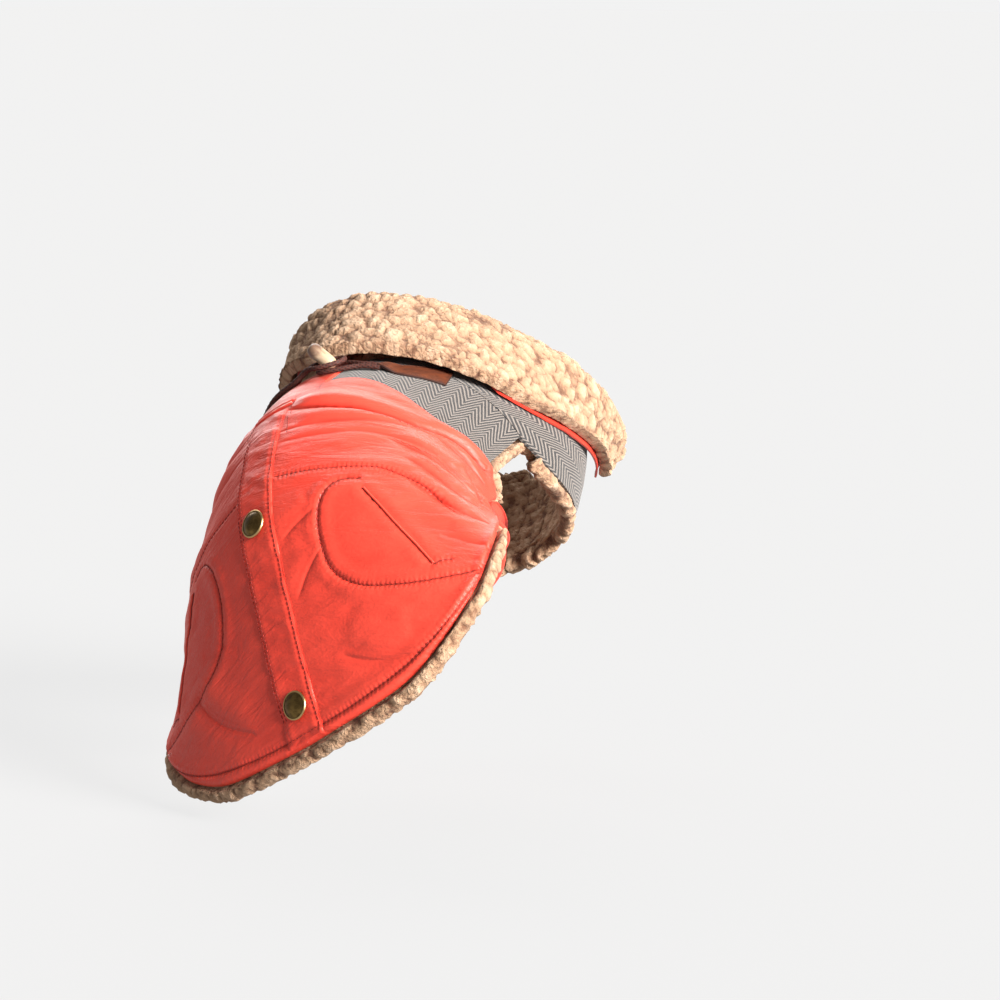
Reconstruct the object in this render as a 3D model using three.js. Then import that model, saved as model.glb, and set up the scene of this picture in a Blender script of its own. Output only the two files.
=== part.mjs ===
import * as THREE from 'three';

// Dog winter coat, worn, in millimetres. +Z is up, the wearer faces -Y and the wearer's left is +X.
// Every cloth piece is cut on one smooth worn form. A place on it has two numbers: "at", in mm along
// the back from ahead of the nape to the hem, and "turn", in degrees round the trunk from the back
// line (0) past the wearer's right flank (90) to the belly line (180). The left is negative.

const rad = Math.PI / 180;

// Real sizes
const shellWall = 2;
const seamGap = 0.35;
const liningDrop = 3;
const liningWall = 4;
const collarWall = 6;
const underCollarWall = 1.1;
const strapWall = 2.4;
const placketWide = 25;
const placketWall = 1.4;
const weltWall = 1.1;
const snapAcross = 15;
const snapHigh = 3.4;
const cordThick = 2.6;
const toggleLong = 17;
const toggleAcross = 8;
const tabWall = 1.5;

// How the worn coat leans: its right side is raised and its back end dropped
const rollDeg = 30.5;
const pitchDeg = 8.3;
const seatAt = 60;

const colours = {
  shell: [0xf0634a, 0.62],
  shellUnder: [0xc8452f, 0.7],
  tweed: [0x958880, 0.95],
  fleece: [0xdabc9c, 1],
  leather: [0x6e391e, 0.6],
  cord: [0x362921, 0.8],
  horn: [0xd2b79b, 0.45],
};

// The worn form, one row per station: the back line's place (ahead, up), the dip of the section below
// level, its half width, the depth from the back line to the widest level and from there to the belly.
const stations = [
  { at: 45, ahead: -42, up: -2.5, dip: 15, half: 60, deep: 104, under: 92 },
  { at: 70, ahead: -65, up: -11, dip: 28, half: 73, deep: 98, under: 94 },
  { at: 95, ahead: -87, up: -26, dip: 38, half: 80, deep: 88, under: 90 },
  { at: 120, ahead: -105, up: -46, dip: 37, half: 84, deep: 80, under: 86 },
  { at: 145, ahead: -119, up: -67, dip: 29, half: 88, deep: 68, under: 84 },
  { at: 174, ahead: -130, up: -92, dip: 19, half: 92, deep: 56, under: 80 },
  { at: 203, ahead: -136, up: -120, dip: 11, half: 101, deep: 51, under: 76 },
  { at: 232, ahead: -140, up: -149, dip: 6, half: 117, deep: 49, under: 72 },
  { at: 261, ahead: -143, up: -178, dip: 5, half: 136, deep: 49, under: 70 },
  { at: 310, ahead: -147, up: -227, dip: 5, half: 163, deep: 50, under: 68 },
];
const neckAt = stations[0].at;

// Smooth curve through a table's rows, read at a fractional row number
function throughRows(rows, place) {
  const last = rows.length - 1;
  const i = Math.min(Math.max(Math.floor(place), 0), last - 1);
  const t = place - i;
  const out = {};
  for (const key of Object.keys(rows[0])) {
    const a = rows[Math.max(i - 1, 0)][key];
    const b = rows[i][key];
    const c = rows[i + 1][key];
    const d = rows[Math.min(i + 2, last)][key];
    const m0 = (c - a) / 2;
    const m1 = (d - b) / 2;
    const t2 = t * t;
    const t3 = t2 * t;
    out[key] = (2 * t3 - 3 * t2 + 1) * b + (t3 - 2 * t2 + t) * m0 + (3 * t2 - 2 * t3) * c + (t3 - t2) * m1;
  }
  return out;
}

// The same curve read at a value of one rising column
function rowsAt(rows, key, value) {
  const last = rows.length - 1;
  const v = Math.min(Math.max(value, rows[0][key]), rows[last][key]);
  let i = 0;
  while (i < last - 1 && rows[i + 1][key] < v) i += 1;
  let low = i;
  let high = i + 1;
  for (let n = 0; n < 24; n += 1) {
    const middle = (low + high) / 2;
    if (throughRows(rows, middle)[key] < v) low = middle;
    else high = middle;
  }
  return throughRows(rows, (low + high) / 2);
}

function formPoint(at, turn) {
  const row = rowsAt(stations, 'at', at);
  const dip = row.dip * rad;
  const c = Math.cos(turn * rad);
  const depth = row.deep - (c >= 0 ? row.deep : row.under) * c;
  return new THREE.Vector3(
    -row.half * Math.sin(turn * rad),
    -(row.ahead + depth * Math.cos(dip)),
    row.up - depth * Math.sin(dip),
  );
}

function formNormal(at, turn) {
  const step = 0.6;
  const inside = Math.max(at, neckAt + step);
  const along = formPoint(inside + step, turn).sub(formPoint(inside - step, turn));
  const round = formPoint(inside, turn + step).sub(formPoint(inside, turn - step));
  return along.cross(round).normalize();
}

function onForm(at, turn, lift) {
  return formPoint(at, turn).addScaledVector(formNormal(at, turn), lift);
}

// Turns a distance across the back into degrees of turn
function acrossToTurn(at, across) {
  return Math.asin(across / rowsAt(stations, 'at', at).half) / rad;
}

// Whole part: origin on the withers under the lining, then the lean
const seat = onForm(seatAt, 0, -liningDrop - liningWall);
const lean = new THREE.Matrix4().makeRotationFromEuler(
  new THREE.Euler(pitchDeg * rad, rollDeg * rad, 0, 'XYZ'),
);
function place(point) {
  return point.clone().sub(seat).applyMatrix4(lean);
}

const group = new THREE.Group();

function addMesh(name, geometry, look, metalness = 0) {
  geometry.computeVertexNormals();
  const material = new THREE.MeshStandardMaterial({ color: look[0], roughness: look[1], metalness });
  const mesh = new THREE.Mesh(geometry, material);
  mesh.name = name;
  group.add(mesh);
}

// Closed body between two grids of points; cells left out make openings
function wallBody(cols, rows, outer, inner, isCell) {
  const stride = cols + 1;
  const count = stride * (rows + 1);
  const used = new Map();
  const coords = [];
  const faces = [];
  const vertex = (i, j, side) => {
    const key = side * count + j * stride + i;
    if (!used.has(key)) {
      const p = place(side ? inner(i, j) : outer(i, j));
      used.set(key, coords.length / 3);
      coords.push(p.x, p.y, p.z);
    }
    return used.get(key);
  };
  const quad = (a, b, c, d) => faces.push(a, b, c, a, c, d);
  const live = (i, j) => i >= 0 && j >= 0 && i < cols && j < rows && isCell(i, j);
  for (let j = 0; j < rows; j += 1) {
    for (let i = 0; i < cols; i += 1) {
      if (!live(i, j)) continue;
      quad(vertex(i, j, 0), vertex(i + 1, j, 0), vertex(i + 1, j + 1, 0), vertex(i, j + 1, 0));
      quad(vertex(i, j, 1), vertex(i, j + 1, 1), vertex(i + 1, j + 1, 1), vertex(i + 1, j, 1));
      const rim = [
        [i, j - 1, i, j, i + 1, j],
        [i + 1, j, i + 1, j, i + 1, j + 1],
        [i, j + 1, i + 1, j + 1, i, j + 1],
        [i - 1, j, i, j + 1, i, j],
      ];
      for (const [ni, nj, ai, aj, bi, bj] of rim) {
        if (live(ni, nj)) continue;
        quad(vertex(ai, aj, 1), vertex(bi, bj, 1), vertex(bi, bj, 0), vertex(ai, aj, 0));
      }
    }
  }
  const geometry = new THREE.BufferGeometry();
  geometry.setAttribute('position', new THREE.Float32BufferAttribute(coords, 3));
  geometry.setIndex(faces);
  return faceOut(geometry);
}

// Turns every face over when the body's signed volume is negative
function faceOut(geometry) {
  const p = geometry.attributes.position;
  const index = geometry.index.array;
  const a = new THREE.Vector3();
  const b = new THREE.Vector3();
  const c = new THREE.Vector3();
  let volume = 0;
  for (let k = 0; k < index.length; k += 3) {
    a.fromBufferAttribute(p, index[k]);
    b.fromBufferAttribute(p, index[k + 1]);
    c.fromBufferAttribute(p, index[k + 2]);
    volume += a.dot(b.cross(c));
  }
  if (volume < 0) {
    for (let k = 0; k < index.length; k += 3) {
      [index[k + 1], index[k + 2]] = [index[k + 2], index[k + 1]];
    }
  }
  return geometry;
}

const everyCell = () => true;
const mix = (a, b, t) => a + (b - a) * t;
function soft(from, to, value) {
  const t = Math.min(Math.max((value - from) / (to - from), 0), 1);
  return t * t * (3 - 2 * t);
}

// Largest folds of the right flank, as raised rolls that run from the strap towards the back line;
// the left flank has its own heights.
const folds = [
  { backAt: 96, midAt: 101, strapAt: 128, wide: 6, right: 1.7, left: 1.3 },
  { backAt: 111, midAt: 119, strapAt: 146, wide: 6, right: 1.5, left: 1.7 },
  { backAt: 128, midAt: 138, strapAt: 160, wide: 7, right: 1.1, left: 0.9 },
  { backAt: 150, midAt: 160, strapAt: 178, wide: 8, right: 0.8, left: 1.1 },
  { backAt: 172, midAt: 186, strapAt: 196, wide: 9, right: 0.6, left: 0.6 },
];
const foldStart = 14;
const foldEnd = 96;
function foldRise(at, turn) {
  const t = (Math.abs(turn) - foldStart) / (foldEnd - foldStart);
  if (t < -0.1 || t > 1.15) return 0;
  const fade = soft(-0.05, 0.18, t) * soft(1.12, 0.85, t);
  let rise = 0;
  for (const fold of folds) {
    const k = Math.min(Math.max(t, 0), 1);
    const lineAt = (1 - k) ** 2 * fold.backAt + 2 * k * (1 - k) * fold.midAt + k ** 2 * fold.strapAt;
    const off = (at - lineAt) / fold.wide;
    rise += (turn > 0 ? fold.right : fold.left) * Math.exp(-off * off);
  }
  return rise * fade;
}

// Half of the back piece's outline, one row per rib out from the back line: the yoke seam (mid), the
// hem, and the top of the back yoke, which is the neck seam and then the shoulder seam.
const ribs = [
  { midAt: 83, midTurn: 0, hemAt: 296, hemTurn: 0, topAt: 45, topTurn: 0 },
  { midAt: 83, midTurn: 10, hemAt: 295, hemTurn: 9.5, topAt: 45, topTurn: 14 },
  { midAt: 83, midTurn: 20, hemAt: 293, hemTurn: 19, topAt: 45, topTurn: 28 },
  { midAt: 82.5, midTurn: 28, hemAt: 289, hemTurn: 27, topAt: 45, topTurn: 34 },
  { midAt: 85, midTurn: 38, hemAt: 279, hemTurn: 37, topAt: 45, topTurn: 40 },
  { midAt: 93, midTurn: 50, hemAt: 267, hemTurn: 47, topAt: 45, topTurn: 46 },
  { midAt: 109, midTurn: 68, hemAt: 252, hemTurn: 60, topAt: 64, topTurn: 60 },
  { midAt: 115, midTurn: 80, hemAt: 240, hemTurn: 71, topAt: 74, topTurn: 77 },
  { midAt: 117, midTurn: 91, hemAt: 230, hemTurn: 82, topAt: 82, topTurn: 94 },
  { midAt: 138, midTurn: 100, hemAt: 220, hemTurn: 93, topAt: 82, topTurn: 94 },
  { midAt: 160, midTurn: 110, hemAt: 205, hemTurn: 104, topAt: 82, topTurn: 94 },
];
const panelRib = 2;
const seamRib = 5;
const armholeRib = 8;
const strapRib = 10;

// Keeps the sign of a rib number for the wearer's left side
function rib(u) {
  const row = throughRows(ribs, Math.abs(u));
  const side = u < 0 ? -1 : 1;
  return { ...row, midTurn: row.midTurn * side, hemTurn: row.hemTurn * side, topTurn: row.topTurn * side };
}

// Back piece: the cape below the yokes and the plain centre strip that runs up between them
const ribSteps = 2;
const capeCols = 2 * strapRib * ribSteps;
const stripRows = 4;
const capeRows = 26;
function capePlace(i, j) {
  const u = (i - capeCols / 2) / ribSteps;
  const r = rib(u);
  if (j < stripRows) {
    const t = j / stripRows;
    return [mix(r.topAt, r.midAt, t), mix(r.topTurn, r.midTurn, t)];
  }
  const t = (j - stripRows) / (capeRows - stripRows);
  return [mix(r.midAt, r.hemAt, t), mix(r.midTurn, r.hemTurn, t)];
}
function isCapeCell(i, j) {
  const far = Math.max(Math.abs(i - capeCols / 2), Math.abs(i + 1 - capeCols / 2));
  return j >= stripRows || far <= panelRib * ribSteps;
}
function shellLift(at, turn) {
  return foldRise(at, turn);
}
const capeOuter = (i, j) => {
  const [at, turn] = capePlace(i, j);
  return onForm(at, turn, shellLift(at, turn));
};
const capeInner = (i, j) => onForm(...capePlace(i, j), -shellWall);
addMesh('back_panel', wallBody(capeCols, capeRows, capeOuter, capeInner, isCapeCell), colours.shell);

// Yokes: a back one from the shoulder seam down to the cape, a front one round to the chest
const chestEdge = [
  { at: 82, turn: 94 },
  { at: 82, turn: 106 },
  { at: 79.5, turn: 120 },
  { at: 75, turn: 135 },
  { at: 71.5, turn: 150 },
  { at: 70, turn: 165 },
  { at: 70, turn: 180 },
];
const frontStart = 47.5;
const frontSeamCols = 6;
const frontChestCols = 12;
const frontCols = frontSeamCols + frontChestCols;
const frontRows = 5;

// Place on the front yoke or its lining: column i from the shoulder seam's neck end, share t down
function frontPlace(i, t, side, below) {
  const neckTurn = mix(frontStart, 179.6, i / frontCols);
  let edge;
  if (i <= frontSeamCols) {
    const r = throughRows(ribs, mix(seamRib + 0.12, armholeRib, i / frontSeamCols));
    edge = { at: r.topAt - seamGap + below, turn: r.topTurn + 0.4 };
  } else {
    edge = throughRows(chestEdge, (6 * (i - frontSeamCols)) / frontChestCols);
    edge.turn = Math.min(edge.turn, 179.6);
    edge.at += below;
  }
  return [mix(neckAt, edge.at, t), mix(neckTurn, edge.turn, t) * side];
}

for (const [side, word] of [[1, 'right'], [-1, 'left']]) {
  const yokeCols = 14;
  const yokeRows = 8;
  const backPlace = (i, j) => {
    const r = throughRows(ribs, mix(panelRib, armholeRib, i / yokeCols));
    const t = j / yokeRows;
    const inward = i === 0 ? 0.5 : 0;
    return [mix(r.topAt, r.midAt - seamGap, t), (mix(r.topTurn, r.midTurn, t) + inward) * side];
  };
  addMesh(
    `yoke_back_${word}`,
    wallBody(
      yokeCols,
      yokeRows,
      (i, j) => onForm(...backPlace(i, j), 0),
      (i, j) => onForm(...backPlace(i, j), -shellWall),
      everyCell,
    ),
    colours.tweed,
  );
  addMesh(
    `yoke_front_${word}`,
    wallBody(
      frontCols,
      frontRows,
      (i, j) => onForm(...frontPlace(i, j / frontRows, side, 0), 0),
      (i, j) => onForm(...frontPlace(i, j / frontRows, side, 0), -shellWall),
      everyCell,
    ),
    colours.tweed,
  );
}

// Fleece lining: it shows past the hem and the armholes as a soft rim
const rimSteps = [
  { out: 1.2, lift: -3 },
  { out: 3.6, lift: -0.9 },
  { out: 7.5, lift: -1.9 },
];
const armholeEdge = [
  { at: 82, turn: 94 },
  { at: 100, turn: 92 },
  { at: 117, turn: 91 },
  { at: 138, turn: 100 },
  { at: 160, turn: 110 },
  { at: 182, turn: 107.5 },
  { at: 205, turn: 104 },
];
const liningHalfCols = 12;
const liningRows = 22;
const rim = rimSteps.length;
const degPerMm = 0.66;
const liningApexAt = 85.5;
const closerAtNeck = 0.55;
// The rim rises along these shares of the armhole edge and of the hem, and stays low at the strap
const armholeShare = 0.62;
const hemShare = 0.9;

// Place on one half of the lining of the back: a patch between the back line's seam, the neck, the
// armhole edge and the hem, and the rim beyond its edges
function liningPlace(i, j, side) {
  const column = Math.min(i, liningHalfCols);
  const row = Math.min(j, liningRows);
  const u = column / liningHalfCols;
  const v = (row / liningRows) * mix(closerAtNeck, 1, row / liningRows);
  const top = throughRows(ribs, u * armholeRib);
  const hem = throughRows(ribs, u * strapRib);
  const edge = throughRows(armholeEdge, v * (armholeEdge.length - 1));
  const first = ribs[armholeRib];
  const last = ribs[strapRib];
  let at = mix(top.topAt, hem.hemAt, v) + u * (edge.at - mix(first.topAt, last.hemAt, v));
  let turn = mix(top.topTurn, hem.hemTurn, v) + u * (edge.turn - mix(first.topTurn, last.hemTurn, v));
  let lift = -liningDrop;
  if (i > liningHalfCols) {
    const step = rimSteps[i - liningHalfCols - 1];
    turn += step.out * degPerMm;
    at = Math.max(at, liningApexAt);
    if (v < armholeShare) lift = Math.max(lift, step.lift);
  }
  if (j > liningRows) {
    const step = rimSteps[j - liningRows - 1];
    at += step.out;
    if (i <= liningHalfCols && u < hemShare) lift = Math.max(lift, step.lift);
  }
  return [at, Math.max(turn, acrossToTurn(at, seamGap / 2)) * side, lift];
}
for (const [side, word] of [[1, 'right'], [-1, 'left']]) {
  addMesh(
    `lining_back_${word}`,
    wallBody(
      liningHalfCols + rim,
      liningRows + rim,
      (i, j) => onForm(...liningPlace(i, j, side)),
      (i, j) => {
        const [at, turn] = liningPlace(i, j, side);
        return onForm(at, turn, -liningDrop - liningWall);
      },
      everyCell,
    ),
    colours.fleece,
  );
}

for (const [side, word] of [[1, 'right'], [-1, 'left']]) {
  const rows = frontRows + rim;
  const firstRimCol = frontSeamCols + 2;
  const liningFront = (i, j) => {
    const inset = i < firstRimCol ? -1 : 0;
    if (j <= frontRows) return [...frontPlace(i, j / frontRows, side, inset), -liningDrop];
    const step = rimSteps[j - frontRows - 1];
    return [...frontPlace(i, 1, side, step.out * 0.6), step.lift];
  };
  addMesh(
    `lining_front_${word}`,
    wallBody(
      frontCols,
      rows,
      (i, j) => onForm(...liningFront(i, j)),
      (i, j) => {
        const [at, turn] = liningFront(i, j);
        return onForm(at, turn, -liningDrop - liningWall);
      },
      (i, j) => j < frontRows || i >= firstRimCol,
    ),
    colours.fleece,
  );
}

// Belly strap in two halves that lap under the belly, the right one outside
const strapRibs = [
  { foreAt: 160.4, foreTurn: 110.6, aftAt: 205, aftTurn: 104.6 },
  { foreAt: 152, foreTurn: 128, aftAt: 208, aftTurn: 124 },
  { foreAt: 142, foreTurn: 150, aftAt: 212, aftTurn: 148 },
  { foreAt: 135, foreTurn: 172, aftAt: 215, aftTurn: 171 },
  { foreAt: 133, foreTurn: 194, aftAt: 216, aftTurn: 194 },
];
const lapLift = 2.9;
const waistIn = 15;
for (const [side, word, lap] of [[1, 'right', lapLift], [-1, 'left', 0]]) {
  const cols = 16;
  const rows = 5;
  const strapPlace = (i, j) => {
    const r = throughRows(strapRibs, (i / cols) * (strapRibs.length - 1));
    const t = j / rows;
    const turn = mix(r.foreTurn, r.aftTurn, t);
    const lift = lap * soft(150, 165, turn) - waistIn * soft(117, 152, turn);
    return [mix(r.foreAt, r.aftAt, t), turn * side, lift];
  };
  addMesh(
    `belly_strap_${word}`,
    wallBody(
      cols,
      rows,
      (i, j) => onForm(...strapPlace(i, j)),
      (i, j) => {
        const [at, turn, lift] = strapPlace(i, j);
        return onForm(at, turn, lift - strapWall);
      },
      everyCell,
    ),
    colours.shell,
  );
}

// Collar: it stands on the neck seam, folds over and falls on the yokes. One row per place round the
// neck: height and reach of the fold, where the fall's edge lies, how far it is lifted off the form and
// raised up the neck, and how far the nylon facing shows past the fleece. The left side hugs the neck.
const collarRows = [
  { turn: -160, high: 11, reach: 14, edgeAt: 50, lift: 10, rise: 0, shows: 3 },
  { turn: -140, high: 12, reach: 11, edgeAt: 51, lift: 7.5, rise: 0, shows: 3 },
  { turn: -115, high: 16, reach: 7, edgeAt: 53, lift: 6.5, rise: 1, shows: 1.5 },
  { turn: -90, high: 22, reach: 6.5, edgeAt: 52.5, lift: 7.2, rise: 4, shows: 0 },
  { turn: -66, high: 29, reach: 6, edgeAt: 51.5, lift: 7.5, rise: 7.5, shows: 0 },
  { turn: -40, high: 37, reach: 6, edgeAt: 49.5, lift: 7.1, rise: 13.5, shows: 0 },
  { turn: -20, high: 42, reach: 5.5, edgeAt: 49.5, lift: 6.3, rise: 13, shows: 0 },
  { turn: 0, high: 45, reach: 5, edgeAt: 55, lift: 6.4, rise: 4, shows: 0 },
  { turn: 20, high: 43.5, reach: 6, edgeAt: 58.5, lift: 9, rise: 0, shows: 0 },
  { turn: 40, high: 38, reach: 7, edgeAt: 64, lift: 8.6, rise: 0, shows: 0 },
  { turn: 66, high: 27, reach: 9, edgeAt: 68, lift: 7.2, rise: 0, shows: 0 },
  { turn: 90, high: 17, reach: 11, edgeAt: 66, lift: 5.2, rise: 0, shows: 1.5 },
  { turn: 115, high: 12, reach: 12, edgeAt: 58, lift: 5.2, rise: 0, shows: 4 },
  { turn: 140, high: 11, reach: 14, edgeAt: 52, lift: 8, rise: 0, shows: 4 },
  { turn: 160, high: 12, reach: 17, edgeAt: 49, lift: 12, rise: 0, shows: 3 },
];
const neckLean = 35;
const neckAxis = new THREE.Vector3(0, -Math.sin(neckLean * rad), Math.cos(neckLean * rad));
const standIn = 4;
const collarEnd = 160;
const collarStations = 38;
const collarSteps = 6;

// Middle line of the collar's fold at one place round the neck: points, each with the direction that
// leads into the fold
function collarLine(turn, longer) {
  const row = rowsAt(collarRows, 'turn', turn);
  const normal = formNormal(neckAt + 1, turn);
  const out = normal.clone().addScaledVector(neckAxis, -normal.dot(neckAxis)).normalize();
  const foot = onForm(neckAt, turn, -3.2).addScaledVector(neckAxis, 1.6);
  const top = foot.clone().addScaledVector(neckAxis, row.high).addScaledVector(out, row.reach);
  const edge = onForm(row.edgeAt, turn, row.lift).addScaledVector(neckAxis, row.rise);
  const fall = onForm(row.edgeAt + 6, turn, row.lift).sub(onForm(row.edgeAt, turn, row.lift)).normalize();
  const stand = new THREE.CubicBezierCurve3(
    foot,
    foot.clone().addScaledVector(neckAxis, row.high * 0.6).addScaledVector(out, -standIn),
    top.clone().addScaledVector(out, -row.reach * 0.75),
    top,
  );
  const drop = new THREE.CubicBezierCurve3(
    top,
    top.clone().addScaledVector(out, row.reach * 0.8),
    edge.clone().addScaledVector(fall, -8).addScaledVector(neckAxis, row.high * 0.3),
    edge,
  );
  const line = [];
  for (let k = 0; k <= collarSteps; k += 1) {
    line.push([stand.getPoint(k / collarSteps), stand.getTangent(k / collarSteps)]);
  }
  for (let k = 1; k <= collarSteps; k += 1) {
    line.push([drop.getPoint(k / collarSteps), drop.getTangent(k / collarSteps)]);
  }
  line.push([edge.clone().addScaledVector(fall, Math.max(longer * row.shows, 0.5)), fall]);
  const across = formPoint(neckAt, turn + 1).sub(formPoint(neckAt, turn - 1)).normalize();
  return line.map(([point, tangent]) => [point, across.clone().cross(tangent).normalize(), tangent]);
}

const collarTurn = (i) => mix(-collarEnd, collarEnd, i / collarStations);
const collarLines = [];
const facingLines = [];
for (let i = 0; i <= collarStations; i += 1) {
  collarLines.push(collarLine(collarTurn(i), 0));
  facingLines.push(collarLine(collarTurn(i), 1));
}
const collarPoints = collarLines[0].length - 1;
function besideLine(lines, i, k, shift) {
  const [point, inward] = lines[i][k];
  return point.clone().addScaledVector(inward, shift);
}
// The fleece is thinner where its edges are turned in and inside its fold; the stand stops a gap short
const edgeShare = 0.55;
const foldShare = 0.25;
const foldGap = 0.6;
const foldSteps = 3;
function collarSide(i, k, side, isStand) {
  const fromFold = Math.min(Math.abs(k - collarSteps) / foldSteps, 1);
  const share = k === 0 || k === collarPoints ? edgeShare : side > 0 ? mix(foldShare, 1, fromFold) : 1;
  const half = (share * collarWall) / 2;
  const point = besideLine(collarLines, i, k, side * half);
  return isStand && k === collarSteps ? point.addScaledVector(collarLines[i][k][2], -foldGap) : point;
}
const collarParts = [
  ['collar_stand', 0, collarSteps],
  ['collar_fall', collarSteps, collarPoints],
];
for (const [name, from, to] of collarParts) {
  const isStand = from === 0;
  addMesh(
    name,
    wallBody(
      collarStations,
      to - from,
      (i, k) => collarSide(i, from + k, -1, isStand),
      (i, k) => collarSide(i, from + k, 1, isStand),
      everyCell,
    ),
    colours.fleece,
  );
}
const facingGap = collarWall / 2 + 0.6;
const facingFrom = collarSteps + 4;
addMesh(
  'under_collar',
  wallBody(
    collarStations,
    collarPoints - facingFrom,
    (i, k) => besideLine(facingLines, i, k + facingFrom, facingGap),
    (i, k) => besideLine(facingLines, i, k + facingFrom, facingGap + underCollarWall),
    everyCell,
  ),
  colours.shellUnder,
);

// Flat trim laid on the shell: a strip between two edges of a small table of places
function trim(name, cols, rows, spot, lift, wall, look, isCell = everyCell) {
  addMesh(
    name,
    wallBody(
      cols,
      rows,
      (i, j) => onForm(...spot(i, j), lift + wall),
      (i, j) => onForm(...spot(i, j), lift),
      isCell,
    ),
    look,
  );
}

// Placket down the back line, from the leash slot to the hem
const placketFrom = 99.5;
const placketTo = 295;
const placketCols = 4;
const placketRows = 26;
const trimLift = 0.35;
trim(
  'placket',
  placketCols,
  placketRows,
  (i, j) => {
    const at = mix(placketFrom, placketTo, j / placketRows);
    return [at, acrossToTurn(at, mix(-placketWide / 2, placketWide / 2, i / placketCols))];
  },
  trimLift,
  placketWall,
  colours.shell,
);

// Leash slot: two lips round a narrow opening across the back line
const slotAt = 95;
const slotAcross = [-14, -11.5, -6, 0, 6, 11.5, 14];
const slotAlong = [-3, -0.5, 0.5, 3];
trim(
  'leash_slot',
  slotAcross.length - 1,
  slotAlong.length - 1,
  (i, j) => {
    const at = slotAt + slotAlong[j];
    return [at, acrossToTurn(at, slotAcross[i])];
  },
  trimLift,
  weltWall,
  colours.shell,
  (i, j) => j !== 1 || i === 0 || i === slotAcross.length - 2,
);

// Pocket mouths: a narrow welt on each flank, sloping back and down
const weltPath = [
  { at: 180, turn: 42 },
  { at: 195, turn: 45.6 },
  { at: 209, turn: 47.6 },
  { at: 224, turn: 49 },
  { at: 238, turn: 49.6 },
];
const weltHalfTurn = 0.8;
for (const [side, word] of [[1, 'right'], [-1, 'left']]) {
  trim(
    `pocket_welt_${word}`,
    14,
    2,
    (i, j) => {
      const row = throughRows(weltPath, (i / 14) * (weltPath.length - 1));
      return [row.at, (row.turn + mix(-weltHalfTurn, weltHalfTurn, j / 2)) * side];
    },
    1.15,
    weltWall,
    colours.shell,
  );
}

// Leather tabs sewn on the back yokes; the toggle's cords come out of their points
const tabRows = [
  { turn: 36.8, foreAt: 69.6, aftAt: 70.8 },
  { turn: 39.5, foreAt: 66.5, aftAt: 73 },
  { turn: 43, foreAt: 64, aftAt: 74.6 },
  { turn: 48, foreAt: 62, aftAt: 75.6 },
  { turn: 55, foreAt: 61, aftAt: 75.6 },
  { turn: 62, foreAt: 61, aftAt: 76 },
];
for (const [side, word] of [[1, 'right'], [-1, 'left']]) {
  trim(
    `leather_tab_${word}`,
    10,
    2,
    (i, j) => {
      const row = throughRows(tabRows, (i / 10) * (tabRows.length - 1));
      return [mix(row.foreAt, row.aftAt, j / 2), row.turn * side];
    },
    trimLift,
    tabWall,
    colours.leather,
  );
}

// Turned body about its own axis, from a short table of radius and height
function turnedBody(profile, segments, base, axis) {
  const shape = new THREE.LatheGeometry(
    profile.map(([r, h]) => new THREE.Vector2(r, h)),
    segments,
  );
  const spin = new THREE.Quaternion().setFromUnitVectors(new THREE.Vector3(0, 1, 0), axis);
  const p = shape.attributes.position;
  const v = new THREE.Vector3();
  for (let k = 0; k < p.count; k += 1) {
    v.fromBufferAttribute(p, k).applyQuaternion(spin).add(base);
    v.copy(place(v));
    p.setXYZ(k, v.x, v.y, v.z);
  }
  return shape;
}

// Domed snap caps on the placket
const brass = [0x6b5330, 0.42];
const snapRadius = snapAcross / 2;
for (const [name, at] of [['snap_upper', 175], ['snap_lower', 275]]) {
  const lift = trimLift + placketWall + 0.3;
  const profile = [
    [0, 0],
    [snapRadius - 0.8, 0],
    [snapRadius, 0.5],
    [snapRadius, 1.1],
    [snapRadius - 0.7, 1.6],
    [snapRadius - 1.3, 1.5],
    [snapRadius - 2.4, snapHigh - 0.9],
    [snapRadius - 4.6, snapHigh - 0.2],
    [0, snapHigh],
  ];
  addMesh(name, turnedBody(profile, 28, onForm(at, 0, lift), formNormal(at, 0)), brass, 0.9);
}

// Toggle: it leans over the back line against the collar, with its lower end in the cord loops
const toggleAt = 66.5;
const toggleTurn = 19.5;
const toggleFootLift = 1.9;
const toggleFoot = onForm(toggleAt, toggleTurn, toggleFootLift);
const toggleLean = 36;
const toggleUp = formNormal(toggleAt, toggleTurn)
  .multiplyScalar(Math.cos(toggleLean * rad))
  .add(new THREE.Vector3(Math.sin(toggleLean * rad), 0, 0))
  .normalize();
const toggleRadius = toggleAcross / 2;
const toggleProfile = [
  [0, 0],
  [toggleRadius * 0.6, 0.3],
  [toggleRadius * 0.88, 1.6],
  [toggleRadius, 4.5],
  [toggleRadius, toggleLong - 5],
  [toggleRadius * 0.9, toggleLong - 1.8],
  [toggleRadius * 0.6, toggleLong - 0.3],
  [0, toggleLong],
];
addMesh('toggle', turnedBody(toggleProfile, 20, toggleFoot, toggleUp), colours.horn);

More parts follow.
